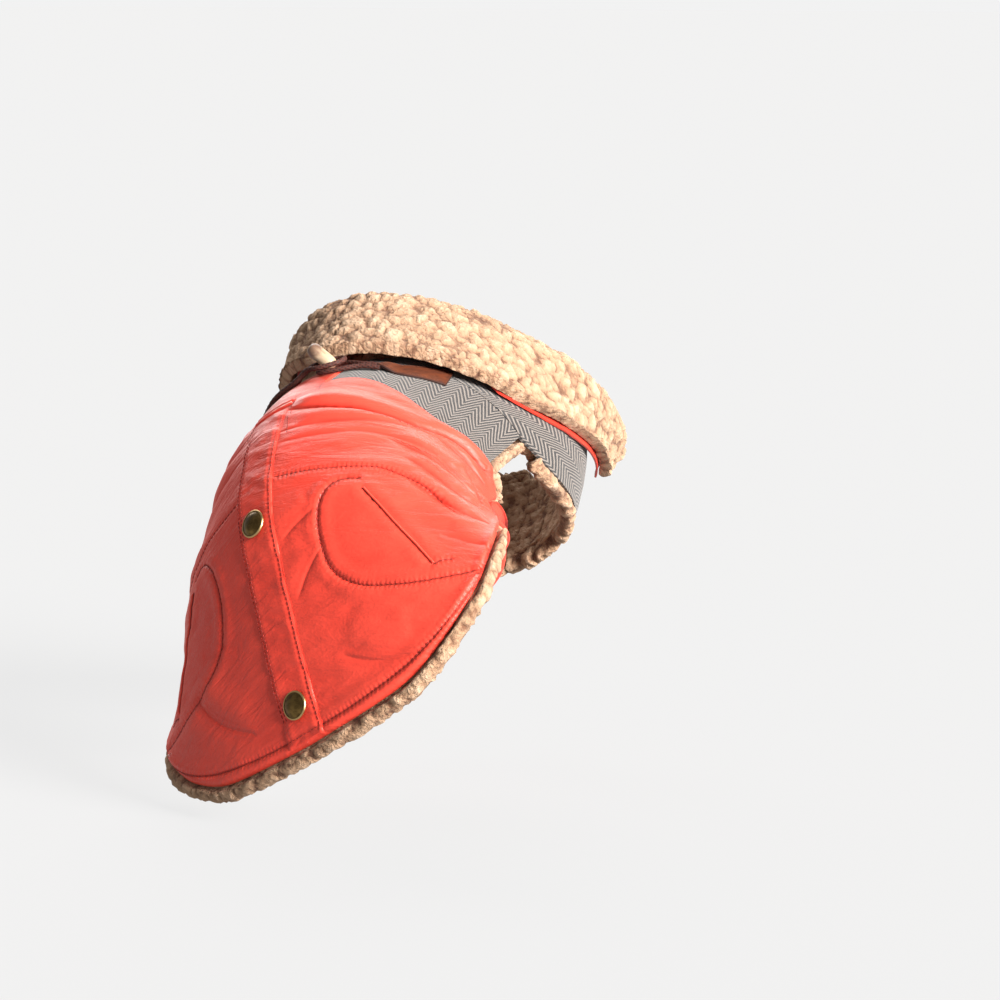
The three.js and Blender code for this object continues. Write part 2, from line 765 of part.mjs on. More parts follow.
// Cord loops: two strands run from each tab's point and pass round the toggle, the left loop over the
// right one. A row holds the place across the back, the half distance between strands and the lift.
const cordRadius = cordThick / 2;
const toggleAcrossBack = rowsAt(stations, 'at', toggleAt).half * Math.sin(toggleTurn * rad);
const tabReach = 17.6;
const cordSlant = 4.2;
const loopGap = 1.2;
const lowLift = 2;
const highLift = 5;
function cordLoop(side, lift, leadIn) {
  const centre = toggleAcrossBack - (lift - toggleFootLift) * Math.tan(toggleLean * rad);
  const halfAcross = toggleRadius / Math.cos(toggleLean * rad) + cordRadius + loopGap;
  const halfAlong = toggleRadius + cordRadius + loopGap;
  const round = [66, 96, 126, 154].map((deg) => ({
    across: centre + side * halfAcross * Math.cos(deg * rad),
    apart: halfAlong * Math.sin(deg * rad),
    lift,
  }));
  const strand = [...leadIn, ...round];
  const bend = { across: centre - side * halfAcross, apart: 0, lift };
  const spots = [...strand.map((k) => ({ ...k, apart: -k.apart })), bend, ...strand.slice().reverse()];
  return spots.map((k) => {
    const outward = Math.max(Math.abs(k.across) - toggleAcrossBack, 0);
    const at = toggleAt + (cordSlant * outward) / tabReach + k.apart;
    return place(onForm(at, acrossToTurn(at, k.across), k.lift));
  });
}
const rightLead = [
  { across: toggleAcrossBack + tabReach, apart: 1.5, lift: lowLift },
  { across: toggleAcrossBack + 13, apart: 1.9, lift: lowLift },
  { across: toggleAcrossBack + 8, apart: 4, lift: lowLift },
];
const leftLead = [
  { across: -toggleAcrossBack - tabReach, apart: 1.5, lift: lowLift },
  { across: -18, apart: 1.5, lift: lowLift },
  { across: toggleAcrossBack - 22, apart: 1.5, lift: lowLift },
  { across: toggleAcrossBack - 16.5, apart: 1.8, lift: 3.5 },
  { across: toggleAcrossBack - 11.5, apart: 3, lift: highLift },
];
const rightPath = cordLoop(1, lowLift, rightLead);
const leftPath = cordLoop(-1, highLift, leftLead);
for (const [word, path] of [['right', rightPath], ['left', leftPath]]) {
  const shape = new THREE.Shape();
  shape.absarc(0, 0, cordRadius, 0, 2 * Math.PI, false);
  const cord = new THREE.ExtrudeGeometry(shape, {
    steps: 44,
    curveSegments: 4,
    bevelEnabled: false,
    extrudePath: new THREE.CatmullRomCurve3(path, false, 'centripetal'),
  });
  addMesh(`toggle_cord_${word}`, cord, colours.cord);
}

export default group;
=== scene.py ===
import bpy
import bmesh
import math
import numpy as np
from mathutils import Matrix, Vector, kdtree
from mathutils.bvhtree import BVHTree


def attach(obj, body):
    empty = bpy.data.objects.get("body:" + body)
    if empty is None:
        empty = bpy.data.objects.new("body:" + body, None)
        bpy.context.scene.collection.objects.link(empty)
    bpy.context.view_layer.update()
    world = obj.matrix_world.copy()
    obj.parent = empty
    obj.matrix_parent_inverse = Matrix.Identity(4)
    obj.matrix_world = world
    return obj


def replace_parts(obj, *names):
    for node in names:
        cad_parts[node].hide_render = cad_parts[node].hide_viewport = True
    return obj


# Dog winter coat, worn. Places on the cloth are (at, turn): mm along the back from ahead of the neck,
# and degrees round the trunk from the back line, + on the coat's right.
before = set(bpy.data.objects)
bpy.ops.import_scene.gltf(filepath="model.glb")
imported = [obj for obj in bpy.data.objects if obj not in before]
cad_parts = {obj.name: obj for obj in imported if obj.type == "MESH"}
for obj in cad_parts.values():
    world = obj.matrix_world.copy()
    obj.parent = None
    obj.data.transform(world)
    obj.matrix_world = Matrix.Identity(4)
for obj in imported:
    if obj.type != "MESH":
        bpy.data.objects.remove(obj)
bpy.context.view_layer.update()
mm = 0.001

# The worn form, the same table as the solids: at, ahead, up, dip, half, deep, under
stationTable = np.array([
    (45, -42, -2.5, 15, 60, 104, 92), (70, -65, -11, 28, 73, 98, 94), (95, -87, -26, 38, 80, 88, 90),
    (120, -105, -46, 37, 84, 80, 86), (145, -119, -67, 29, 88, 68, 84), (174, -130, -92, 19, 92, 56, 80),
    (203, -136, -120, 11, 101, 51, 76), (232, -140, -149, 6, 117, 49, 72), (261, -143, -178, 5, 136, 49, 70),
    (310, -147, -227, 5, 163, 50, 68)], float)
neckAt = 45.0
flanks = ((1, "right"), (-1, "left"))


def throughRows(table, place):
    # smooth curve through a table's rows at fractional row numbers
    table, place = np.asarray(table, float), np.asarray(place, float)
    last = len(table) - 1
    i = np.clip(np.floor(place).astype(int), 0, last - 1)
    t = (place - i)[..., None]
    a, b = table[np.maximum(i - 1, 0)], table[i]
    c, d = table[i + 1], table[np.minimum(i + 2, last)]
    m0, m1 = (c - a) / 2, (d - b) / 2
    return (2*t**3 - 3*t**2 + 1)*b + (t**3 - 2*t**2 + t)*m0 + (3*t**2 - 2*t**3)*c + (t**3 - t**2)*m1


def rowsAt(table, column, value):
    # the same curve read at a value of one rising column
    fine = np.linspace(0, len(table) - 1, 4001)
    return throughRows(table, np.interp(value, throughRows(table, fine)[:, column], fine))


def formPoint(at, turn):
    at, turn = np.broadcast_arrays(np.asarray(at, float), np.asarray(turn, float))
    row = rowsAt(stationTable, 0, at)
    ahead, up, dip, half, deep, under = (row[..., k] for k in range(1, 7))
    dip, c = np.radians(dip), np.cos(np.radians(turn))
    depth = deep - np.where(c >= 0, deep, under) * c
    return np.stack([-half * np.sin(np.radians(turn)), -(ahead + depth * np.cos(dip)),
                     up - depth * np.sin(dip)], -1)


def unit(v):
    return v / np.maximum(np.linalg.norm(v, axis=-1, keepdims=True), 1e-9)


def formNormal(at, turn):
    step = 0.6
    at, turn = np.asarray(at, float), np.asarray(turn, float)
    at = np.maximum(at, neckAt + step)
    along = formPoint(at + step, turn) - formPoint(at - step, turn)
    return unit(np.cross(along, formPoint(at, turn + step) - formPoint(at, turn - step)))


def onForm(at, turn, lift):
    return formPoint(at, turn) + formNormal(at, turn) * np.asarray(lift, float)[..., None]


def halfAt(at):
    return rowsAt(stationTable, 0, at)[..., 4]


def acrossToTurn(at, across):
    return np.degrees(np.arcsin(across / halfAt(at)))


def turnTo(pitch, roll):
    a, b = math.radians(pitch), math.radians(roll)
    rx = np.array([[1, 0, 0], [0, math.cos(a), -math.sin(a)], [0, math.sin(a), math.cos(a)]])
    ry = np.array([[math.cos(b), 0, math.sin(b)], [0, 1, 0], [-math.sin(b), 0, math.cos(b)]])
    return rx @ ry


lean = turnTo(8.3, 30.5)
seat = onForm(60, 0, -7)


def toPart(points):
    # from the body's frame, in mm, to the part's frame, in metres
    return (np.asarray(points) - seat) @ lean.T * mm


def laid(at, turn, lift):
    return toPart(onForm(at, turn, lift))


def mix(a, b, t):
    return a + (b - a) * t


def rounded(share, least):
    # from 1 down to nearly 0 as share goes from 0 to 1, as a quarter circle
    return np.sqrt(np.clip(1 - np.clip(share, 0, 1) ** 2, least, 1))


def distanceAlong(points):
    return np.r_[0, np.cumsum(np.linalg.norm(np.diff(points, axis=0), axis=1))]


def traced(line, perRow):
    # a line of (at, turn) rows drawn finely: its rows and its points on the form
    rows = throughRows(np.array(line, float), np.linspace(0, len(line) - 1, perRow * len(line)))
    return rows, formPoint(rows[:, 0], rows[:, 1])


def pointTree(points):
    tree = kdtree.KDTree(len(points))
    for k, p in enumerate(points):
        tree.insert(p, k)
    tree.balance()
    return tree


def soft(low, high, value):
    t = np.clip((np.asarray(value, float) - low) / (high - low), 0, 1)
    return t * t * (3 - 2 * t)


photoView = {"right": (0.718, 0.43, 0.547), "ahead": (0.619, -0.035, -0.785), "up": (-0.318, 0.902, -0.292),
             "eye": (72.1, -66.4, 2000.0), "lens": 133.333, "sensor": 36.0}


def makeCamera():
    # the body's directions as the photo shows them, made square, turn the camera
    u, _, vt = np.linalg.svd(np.array([photoView["right"], photoView["ahead"], photoView["up"]]))
    right, ahead, up = u @ vt
    toView = np.stack([-right, -ahead, up])  # body frame to camera axes, row vectors
    eye = np.array(photoView["eye"]) @ toView.T
    axes = lean @ toView  # columns: camera x, y, z in the part's frame
    data = bpy.data.cameras.new("photoCamera")
    data.lens, data.sensor_width = photoView["lens"], photoView["sensor"]
    data.clip_start, data.clip_end = 0.1, 60
    camera = bpy.data.objects.new("photoCamera", data)
    bpy.context.scene.collection.objects.link(camera)
    turned = Matrix([[*axes[0]], [*axes[1]], [*axes[2]]]).to_4x4()
    camera.matrix_world = Matrix.Translation(Vector(toPart(eye))) @ turned
    bpy.context.scene.camera = camera


makeCamera()
print("camera set")


def scatter(cell, seed):
    # a repeatable number from 0 to 1 for each whole cell
    h = (cell[..., 0] * 73856093) ^ (cell[..., 1] * 19349663) ^ (cell[..., 2] * 83492791) ^ (seed * 2654435)
    h = (h ^ (h >> 13)) * 1274126177
    return ((h ^ (h >> 16)) & 0xFFFFFF) / float(0xFFFFFF)


def smoothNoise(p, size, seed=0):
    # soft noise from -1 to 1 in space
    q = np.asarray(p) / size
    base = np.floor(q).astype(np.int64)
    f = q - base
    f = f * f * (3 - 2 * f)
    ends = (1 - f, f)
    total = 0
    for dx in (0, 1):
        for dy in (0, 1):
            for dz in (0, 1):
                w = ends[dx][..., 0] * ends[dy][..., 1] * ends[dz][..., 2]
                total = total + w * scatter(base + np.array([dx, dy, dz]), seed)
    return total * 2 - 1


def clumps(p, size, seed=0):
    # nearest and next nearest distance to scattered points, in cells, and a number for the nearest one
    q = np.asarray(p) / size
    base = np.floor(q).astype(np.int64)
    first = np.full(q.shape[:-1], 9.0)
    second = np.full(q.shape[:-1], 9.0)
    name = np.zeros(q.shape[:-1])
    for dx in (-1, 0, 1):
        for dy in (-1, 0, 1):
            for dz in (-1, 0, 1):
                cell = base + np.array([dx, dy, dz])
                spot = cell + np.stack([scatter(cell, seed + k) for k in (1, 2, 3)], -1)
                d = np.linalg.norm(spot - q, axis=-1)
                closer = d < first
                second = np.where(closer, first, np.minimum(second, d))
                name = np.where(closer, scatter(cell, seed + 4), name)
                first = np.where(closer, d, first)
    return first, second, name


def newPiece(name, bm, material, smoothAngle=55):
    mesh = bpy.data.meshes.new(name)
    bm.normal_update()
    bm.to_mesh(mesh)
    bm.free()
    mesh.shade_smooth()
    if smoothAngle:
        mesh.set_sharp_from_angle(angle=math.radians(smoothAngle))
    piece = bpy.data.objects.new(name, mesh)
    bpy.context.scene.collection.objects.link(piece)
    mesh.materials.append(material)
    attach(piece, "root")
    return piece


def wall(cols, rows, shape, keep=None):
    # closed cloth wall from a grid: shape(i, j, side) gives points in metres, uv in mm and a shade 0 to 1;
    # side is 0 on the outer face and 1 on the inner face
    bm = bmesh.new()
    bmesh.ops.create_grid(bm, x_segments=cols, y_segments=rows, size=1)
    if keep is not None:
        mid = np.array([f.calc_center_median()[:2] for f in bm.faces])
        alive = keep((mid[:, 0] + 1) / 2 * cols, (mid[:, 1] + 1) / 2 * rows)
        bmesh.ops.delete(bm, geom=[f for f, ok in zip(bm.faces, alive) if not ok], context="FACES")
        loose = [v for v in bm.verts if not v.link_faces]
        bmesh.ops.delete(bm, geom=loose, context="VERTS")
    made = bmesh.ops.extrude_face_region(bm, geom=bm.faces[:] + bm.edges[:] + bm.verts[:], use_keep_orig=True)
    inner = {g for g in made["geom"] if isinstance(g, bmesh.types.BMVert)}
    bm.verts.index_update()
    co = np.array([v.co[:2] for v in bm.verts])
    i, j = np.rint((co[:, 0] + 1) / 2 * cols), np.rint((co[:, 1] + 1) / 2 * rows)
    side = np.array([1.0 if v in inner else 0.0 for v in bm.verts])
    points, uv, shade, *more = shape(i, j, side)
    for v, p in zip(bm.verts, points.tolist()):
        v.co = p
    bmesh.ops.recalc_face_normals(bm, faces=bm.faces[:])
    layer = bm.loops.layers.uv.new("clothMap")
    uvList = uv.tolist()
    for name, values in {"shade": shade, **(more[0] if more else {})}.items():
        layerOf = bm.verts.layers.float.new(name)
        for v, s in zip(bm.verts, values.tolist()):
            v[layerOf] = s
    for f in bm.faces:
        for loop in f.loops:
            loop[layer].uv = uvList[loop.vert.index]
    return bm


def newWall(name, size, shape, material, smoothAngle=55):
    return newPiece(name, wall(size["cols"], size["rows"], shape), material, smoothAngle)


def nearLines(lines, spacing=1.0):
    # a finder for the nearest of several lines on the form, each a list of (at, turn) rows: distance,
    # distance along it, which line, offset to its side, and 1 near it, fading out by 5.5 mm and past its ends
    spots, asides, ways, arc, which = [], [], [], [], []
    for n, line in enumerate(lines):
        fine, p = traced(line, 40)
        step = distanceAlong(p)
        even = np.arange(0, step[-1], spacing)
        centre = np.stack([np.interp(even, step, p[:, k]) for k in range(3)], 1)
        way = unit(np.gradient(centre, axis=0))
        normal = formNormal(np.interp(even, step, fine[:, 0]), np.interp(even, step, fine[:, 1]))
        spots.append(centre)
        ways.append(way)
        asides.append(unit(np.cross(normal, way)))
        arc.append(even)
        which.append(np.full(len(even), n))
    spots, arc, which = np.concatenate(spots), np.concatenate(arc), np.concatenate(which)
    asides, ways = np.concatenate(asides), np.concatenate(ways)
    tree = pointTree(spots)

    def find(points):
        found = [tree.find(p) for p in points]
        index = np.array([f[1] for f in found])
        distance, away = np.array([f[2] for f in found]), points - spots[index]
        off = (away * asides[index]).sum(1)
        along = (away * ways[index]).sum(1)
        near = soft(5.5, 3.0, distance) * soft(1.6, 0.5, np.abs(along))
        return distance, arc[index] + along, which[index], off, near
    return find


print("helpers ready")


class Finish:
    # a material being put together: short ways to add its nodes, and done() to fill in the shader
    def __init__(self, name):
        self.material = bpy.data.materials.new(name)
        self.material.use_nodes = True
        self.tree = self.material.node_tree

    def fill(self, target, inputs):
        for key, value in inputs.items():
            socket = target.inputs[key if isinstance(key, int) else key.replace("_", " ")]
            if isinstance(value, bpy.types.NodeSocket):
                self.tree.links.new(value, socket)
            else:
                socket.default_value = value

    def node(self, kind, settings=None, numbered=(), **inputs):
        made = self.tree.nodes.new("ShaderNode" + kind)
        for key, value in (settings or {}).items():
            setattr(made, key, value)
        self.fill(made, {**dict(enumerate(numbered)), **inputs})
        return made

    def read(self, attribute="shade"):
        return self.node("Attribute", {"attribute_name": attribute}).outputs["Fac"]

    def clothMap(self):
        return self.node("UVMap", {"uv_map": "clothMap"}).outputs[0]

    def place(self):
        return self.node("TexCoord").outputs["Object"]

    def noise(self, where, scale, detail, roughness=0.5, distortion=0.0, output="Fac"):
        return self.node("TexNoise", Vector=where, Scale=scale, Detail=detail, Roughness=roughness,
                         Distortion=distortion).outputs[output]

    def calc(self, operation, a, b=0.0, c=0.0):
        return self.node("Math", {"operation": operation}, (a, b, c)).outputs[0]

    def times(self, a, b):
        return self.calc("MULTIPLY", a, b)

    def total(self, first, *others):
        for other in others:
            first = self.calc("ADD", first, other)
        return first

    def ramp(self, value, low, high, first, last):
        return self.node("MapRange", {"interpolation_type": "SMOOTHSTEP"}, Value=value, From_Min=low,
                         From_Max=high, To_Min=first, To_Max=last).outputs[0]

    def colour(self, factor, a, b):
        made = self.node("Mix", {"data_type": "RGBA"})
        self.fill(made, {0: factor, 6: a, 7: b})
        return made.outputs[2]

    def done(self, bump=None, **inputs):
        if bump:
            strength, distance, height = bump
            made = self.node("Bump", Strength=strength, Distance=distance, Height=height)
            inputs["Normal"] = made.outputs[0]
        self.fill(self.tree.nodes["Principled BSDF"], inputs)
        return self.material


def srgb(r, g, b):
    def line(c):
        c /= 255
        return c / 12.92 if c <= 0.04045 else ((c + 0.055) / 1.055) ** 2.4
    return (line(r), line(g), line(b), 1.0)


thread = {"colour": srgb(168, 46, 34), "pitch": 2.7, "thick": 0.5}
# lit and deep are lighter and darker tones of the one nylon, mixed by how high the cloth stands: painted light
# and painted shade. The seam colour is partly thread colour, partly painted shade in seam and crease grooves;
# slit is painted shade in the pocket mouths
nylon = {"lit": (0.86, 0.074, 0.044, 1), "deep": (0.78, 0.052, 0.03, 1), "seam": (0.22, 0.012, 0.008, 1),
         "slit": (0.10, 0.006, 0.004, 1), "roughness": 0.42, "sheen": 0.06, "crinkle": 1.25, "fine": 0.10}


def nylonMaterial(name, darker=1.0):
    m = Finish(name)
    uv, shade = m.clothMap(), m.read()

    def bell(value, centre, width):
        x = m.calc("DIVIDE", m.calc("SUBTRACT", value, centre), width)
        return m.calc("EXPONENT", m.times(m.times(x, x), -1.0))

    split = m.node("SeparateXYZ", Vector=uv).outputs
    skew = m.calc("MULTIPLY_ADD", m.calc("ABSOLUTE", split[0]), -0.24, split[1])
    slanted, fanned = (m.node("CombineXYZ", X=m.times(split[0], x), Y=m.times(skew, y)).outputs[0]
                       for x, y in ((0.024, 0.12), (0.05, 0.3)))
    crinkle = m.noise(slanted, 1.0, 4.0, 0.6, 0.9)
    fine = m.noise(fanned, 1.0, 3.0, 0.6, 0.5)
    small = m.noise(uv, 0.55, 3.0, 0.6)
    broad = m.noise(uv, 0.02, 2.0)
    warp, weft = (m.calc("SINE", m.times(split[k], 14.0)) for k in (0, 1))
    height = m.total(m.times(crinkle, nylon["crinkle"]), m.times(fine, nylon["fine"]), m.times(small, 0.18),
                     m.times(m.times(warp, weft), 0.012))
    dark = 0.0
    # stitched lines: a groove, rolls beside it and puckers across it
    for group, depth, line in (("A", 0.55, 0.75), ("B", 0.4, 0.45)):
        off, near, arc = m.read("off" + group), m.read("near" + group), m.read("arc" + group)
        gather = m.calc("SINE", m.total(m.times(arc, 2 * math.pi / thread["pitch"]), m.times(small, 5.0)))
        pucker = m.times(m.times(gather, bell(off, 0.0, 2.4)), 0.10)
        rolls = [m.times(bell(off, centre, 1.3), 0.2) for centre in (2.3, -2.3)]
        groove = m.total(m.times(bell(off, 0.0, 0.6), -depth), *rolls, pucker)
        height = m.total(height, m.times(groove, near))
        # a dark line along each stitched line: partly the thread's colour, partly painted shade in its groove
        dark = m.total(dark, m.times(m.times(bell(off, 0.0, 0.42), near), line))
    # creases: a sharp trough under a roll
    off, near = m.read("offC"), m.read("nearC")
    crease = m.total(*(m.times(bell(off, centre, width), rise)
                       for centre, width, rise in ((0.0, 0.9, -0.9), (2.2, 1.6, 0.5), (-2.4, 1.4, 0.25))))
    height = m.total(height, m.times(crease, near))
    # painted shade: a dark line along each crease's trough
    dark = m.total(dark, m.times(m.times(bell(off, 0.0, 0.6), near), 0.5))
    # painted light and shade: the nylon is lighter where the cloth stands high and darker in its troughs and
    # crinkles, with some random tone
    tone = m.total(m.times(shade, 0.55), m.times(broad, 0.3), m.times(crinkle, 0.15))
    deep, lit = ([c * darker for c in nylon[key][:3]] + [1] for key in ("deep", "lit"))
    body = m.colour(m.ramp(tone, 0.3, 0.8, 0.0, 1.0), deep, lit)
    # the dark lines take the seam colour: thread colour mixed with painted groove shade
    body = m.colour(m.ramp(dark, 0.0, 1.0, 0.0, 0.85), body, nylon["seam"])
    # painted shade: the nylon goes near black where the shade attribute is below zero, in the pocket slits and
    # towards the welt lip's sides
    body = m.colour(m.ramp(shade, -0.8, 0.05, 0.0, 1.0), nylon["slit"], body)
    gloss = m.ramp(small, 0.2, 0.8, nylon["roughness"] - 0.05, nylon["roughness"] + 0.08)
    return m.done((1.0, 0.001, height), Base_Color=body, Roughness=gloss, Sheen_Weight=nylon["sheen"],
                  Sheen_Roughness=0.4, Sheen_Tint=srgb(255, 190, 160), Specular_IOR_Level=0.4)


tweed = {"white": srgb(134, 124, 116), "grey": srgb(104, 95, 88), "black": srgb(19, 17, 17),
         "column": 6.4, "stripe": 3.1, "slope": 1.7, "yarn": 0.75}


def tweedMaterial(name):
    m = Finish(name)
    uv = m.clothMap()
    wobble, fuzz, cloudy = m.noise(uv, 0.12, 2.0), m.noise(uv, 2.6, 3.0, 0.7), m.noise(uv, 0.5, 2.0)
    split = m.node("SeparateXYZ", Vector=uv).outputs
    across = m.total(split[0], m.times(wobble, 0.9))
    column = m.calc("DIVIDE", across, tweed["column"])
    odd = m.calc("MODULO", m.calc("ABSOLUTE", m.calc("FLOOR", column)), 2.0)
    inside = m.times(m.calc("FRACT", column), tweed["column"])
    way = m.calc("SUBTRACT", 1.0, m.times(odd, 2.0))
    climb = m.times(m.times(inside, way), tweed["slope"])
    shift = m.times(odd, tweed["stripe"] / 2 + tweed["column"])
    along = m.total(split[1], climb, shift, m.times(fuzz, 0.55))
    wave = m.calc("SINE", m.times(along, 2 * math.pi / tweed["stripe"]))
    yarn = m.calc("SINE", m.times(across, 2 * math.pi / tweed["yarn"]))
    level = m.total(wave, m.times(m.calc("SUBTRACT", fuzz, 0.5), 1.3))
    white = m.colour(cloudy, tweed["grey"], tweed["white"])
    body = m.colour(m.ramp(level, -0.05, 0.55, 0.0, 1.0), tweed["black"], white)
    height = m.total(m.times(wave, 0.5), m.times(yarn, 0.25), fuzz)
    return m.done((0.5, 0.0003, height), Base_Color=body, Roughness=0.95, Specular_IOR_Level=0.15,
                  Sheen_Weight=0.3, Sheen_Roughness=0.6)


# the fleece is coloured by the height of its nubs: the crevice colour is painted shade between them, the top
# colour painted light on their tops
fleece = {"top": srgb(204, 172, 144), "mid": srgb(172, 136, 107), "creviceShade": srgb(92, 52, 34),
          "warm": srgb(178, 138, 108),
          "nub": 7.2, "rise": 2.3, "sheen": 0.15}


def fleeceMaterial(name):
    m = Finish(name)
    where, shade = m.place(), m.read()
    swirl = m.noise(where, 230.0, 2.0, output="Color")
    bent = m.node("VectorMath", {"operation": "MULTIPLY_ADD"}, (swirl, (0.004,) * 3, where)).outputs[0]
    curl = m.node("TexVoronoi", {"feature": "SMOOTH_F1"}, Vector=bent, Scale=430.0,
                  Smoothness=0.35).outputs["Distance"]
    lock = m.noise(bent, 620.0, 4.0, 0.65, 1.2)
    fibre, patch = m.noise(where, 2600.0, 3.0, 0.7), m.noise(where, 45.0, 2.0)
    # painted shade and light: darker down in the crevices between nubs, lighter on their tops
    depth = m.total(shade, m.times(m.calc("SUBTRACT", lock, 0.5), 0.45), m.times(curl, -0.18))
    low = m.colour(m.ramp(depth, -0.1, 0.32, 0.0, 1.0), fleece["creviceShade"], fleece["mid"])
    high = m.colour(m.ramp(depth, 0.3, 0.9, 0.0, 1.0), low, fleece["top"])
    tinted = m.colour(m.ramp(patch, 0.35, 0.7, 0.0, 0.25), high, fleece["warm"])
    height = m.total(m.times(lock, 1.1), m.times(fibre, 0.22), m.times(curl, -1.1))
    return m.done((0.9, 0.001, height), Base_Color=tinted, Roughness=1.0, Specular_IOR_Level=0.1,
                  Sheen_Weight=fleece["sheen"], Sheen_Roughness=0.7, Sheen_Tint=srgb(255, 240, 222))


nylonCloth = nylonMaterial("orangeNylon")
# a darker copy of the nylon for the under collar: painted shade under the collar's fold
nylonUnder = nylonMaterial("collarNylon", 0.82)
tweedCloth = tweedMaterial("herringboneTweed")
fleeceCloth = fleeceMaterial("sherpaFleece")
print("cloth materials ready")

# Outline of the back piece, one row per rib out from the back line: mid at/turn, hem at/turn, top at/turn
ribTable = np.array([
    (83, 0, 296, 0, 45, 0), (83, 10, 295, 9.5, 45, 14), (83, 20, 293, 19, 45, 28),
    (82.5, 28, 289, 27, 45, 34),
    (85, 38, 279, 37, 45, 40), (93, 50, 267, 47, 45, 46), (109, 68, 252, 60, 64, 60),
    (115, 80, 240, 71, 74, 77),
    (117, 91, 230, 82, 82, 94), (138, 100, 220, 93, 82, 94), (160, 110, 205, 104, 82, 94)], float)
stripRib, seamRib, armholeRib, strapRib = 2, 5, 8, 10
shellWall, seamGap, liningDrop, liningWall = 2.0, 0.35, 3.0, 4.0

# Stitched lines, each a list of (at, turn); the left flank has its own
stitchLines = {
    "hem": [(236, 75.5), (245.5, 66.5), (254, 58.5), (262, 50.5), (272.5, 40), (281, 30), (286.5, 20),
            (289.5, 10), (290.5, 0)],
    "pocket": [(250, 60), (247.5, 49.5), (244, 40.5), (239.5, 34), (234, 28), (225, 23.2), (215, 21.2),
               (204, 21.4), (192, 22.3), (181, 24.5), (173.5, 28), (170, 31.5), (169.5, 36.5), (172, 41)],
    "welt": [(179.5, 42), (194, 46), (208, 48.6), (221, 49.8), (238.5, 49.4)],
    "tack": [(238.5, 49.4), (238, 52.5), (239, 56.5)],
    "arc": [(151, 9.5), (155.5, 23), (162, 40), (169.5, 52.5), (187, 66), (210, 73.5)],
}


def otherSide(line, shift=0.0):
    return [(at + shift, -turn) for at, turn in line]


# How much lower the left flank's line lies, in mm, and how strong its seam is in the cloth
lineShift = {"hem": 0, "pocket": 2, "welt": 2, "tack": 2, "arc": 3}
seamStrength = {"hem": 1.0, "pocket": 1.0, "welt": 0.7, "arc": 0.45}


def bothSides(*names):
    pairs = [(stitchLines[name], otherSide(stitchLines[name], lineShift[name])) for name in names]
    return [line for pair in pairs for line in pair]


# Creases of the shell: depth and width of the trough, height of the roll above it, path of (at, turn)
creaseTable = [
    (1.7, 2.2, 1.9, [(102, 8), (104, 13.5), (107.5, 25.5), (111.5, 38), (116.5, 49), (121.5, 60),
                     (124, 72), (128, 84), (134, 93)]),
    (0.9, 2.0, 0.9, [(119, 7), (120, 22), (122, 36.5), (125.5, 53), (130, 68), (141.5, 83.5), (157, 99)]),
    (0.6, 2.4, 0.8, [(127, 7.5), (130.5, 28), (134, 46.5), (149.5, 67), (171, 86), (186, 98)]),
    (0.9, 2.4, 1.0, [(138, 50), (150, 62), (166, 76), (184, 90), (196, 100)]),
    (0.8, 2.6, 0.9, [(158, 58), (172, 69), (190, 80), (204, 92)]),
    (0.9, 2.4, 0.9, [(176, 58), (192, 67), (208, 76), (219, 85)]),
    (0.9, 2.2, 0.9, [(150, 86), (172, 94), (196, 98)]),
    (0.6, 3.0, 0.5, [(240, 74), (232, 68), (222, 60)]),
    (0.7, 4.0, 0.6, [(236, -36), (250, -30), (264, -22), (276, -13)]),
    (0.5, 5.0, 0.5, [(262, 14), (274, 22), (279, 31)]),
    (0.4, 3.0, 0.4, [(226, 8), (214, 14), (206, 20)]),
    (0.4, 3.0, 0.4, [(192, 8), (186, 15), (182, 22)]),
    (1.3, 2.4, 1.4, [(104, -10), (109, -26), (114, -42), (121, -58), (130, -74), (138, -90)]),
    (0.9, 2.4, 1.0, [(121, -9), (126, -28), (134, -48), (148, -68), (166, -88)]),
    (0.8, 2.6, 0.9, [(146, -40), (158, -58), (178, -78), (200, -96)]),
    (0.9, 2.6, 0.9, [(178, -56), (192, -68), (210, -82)]),
]
creases = [dict(zip(("deep", "wide", "roll", "path"), row)) for row in creaseTable]


def formFlat(at, turn):
    # cloth coordinates in mm: across the back and along it
    return np.stack([np.radians(turn) * halfAt(at), at], -1)


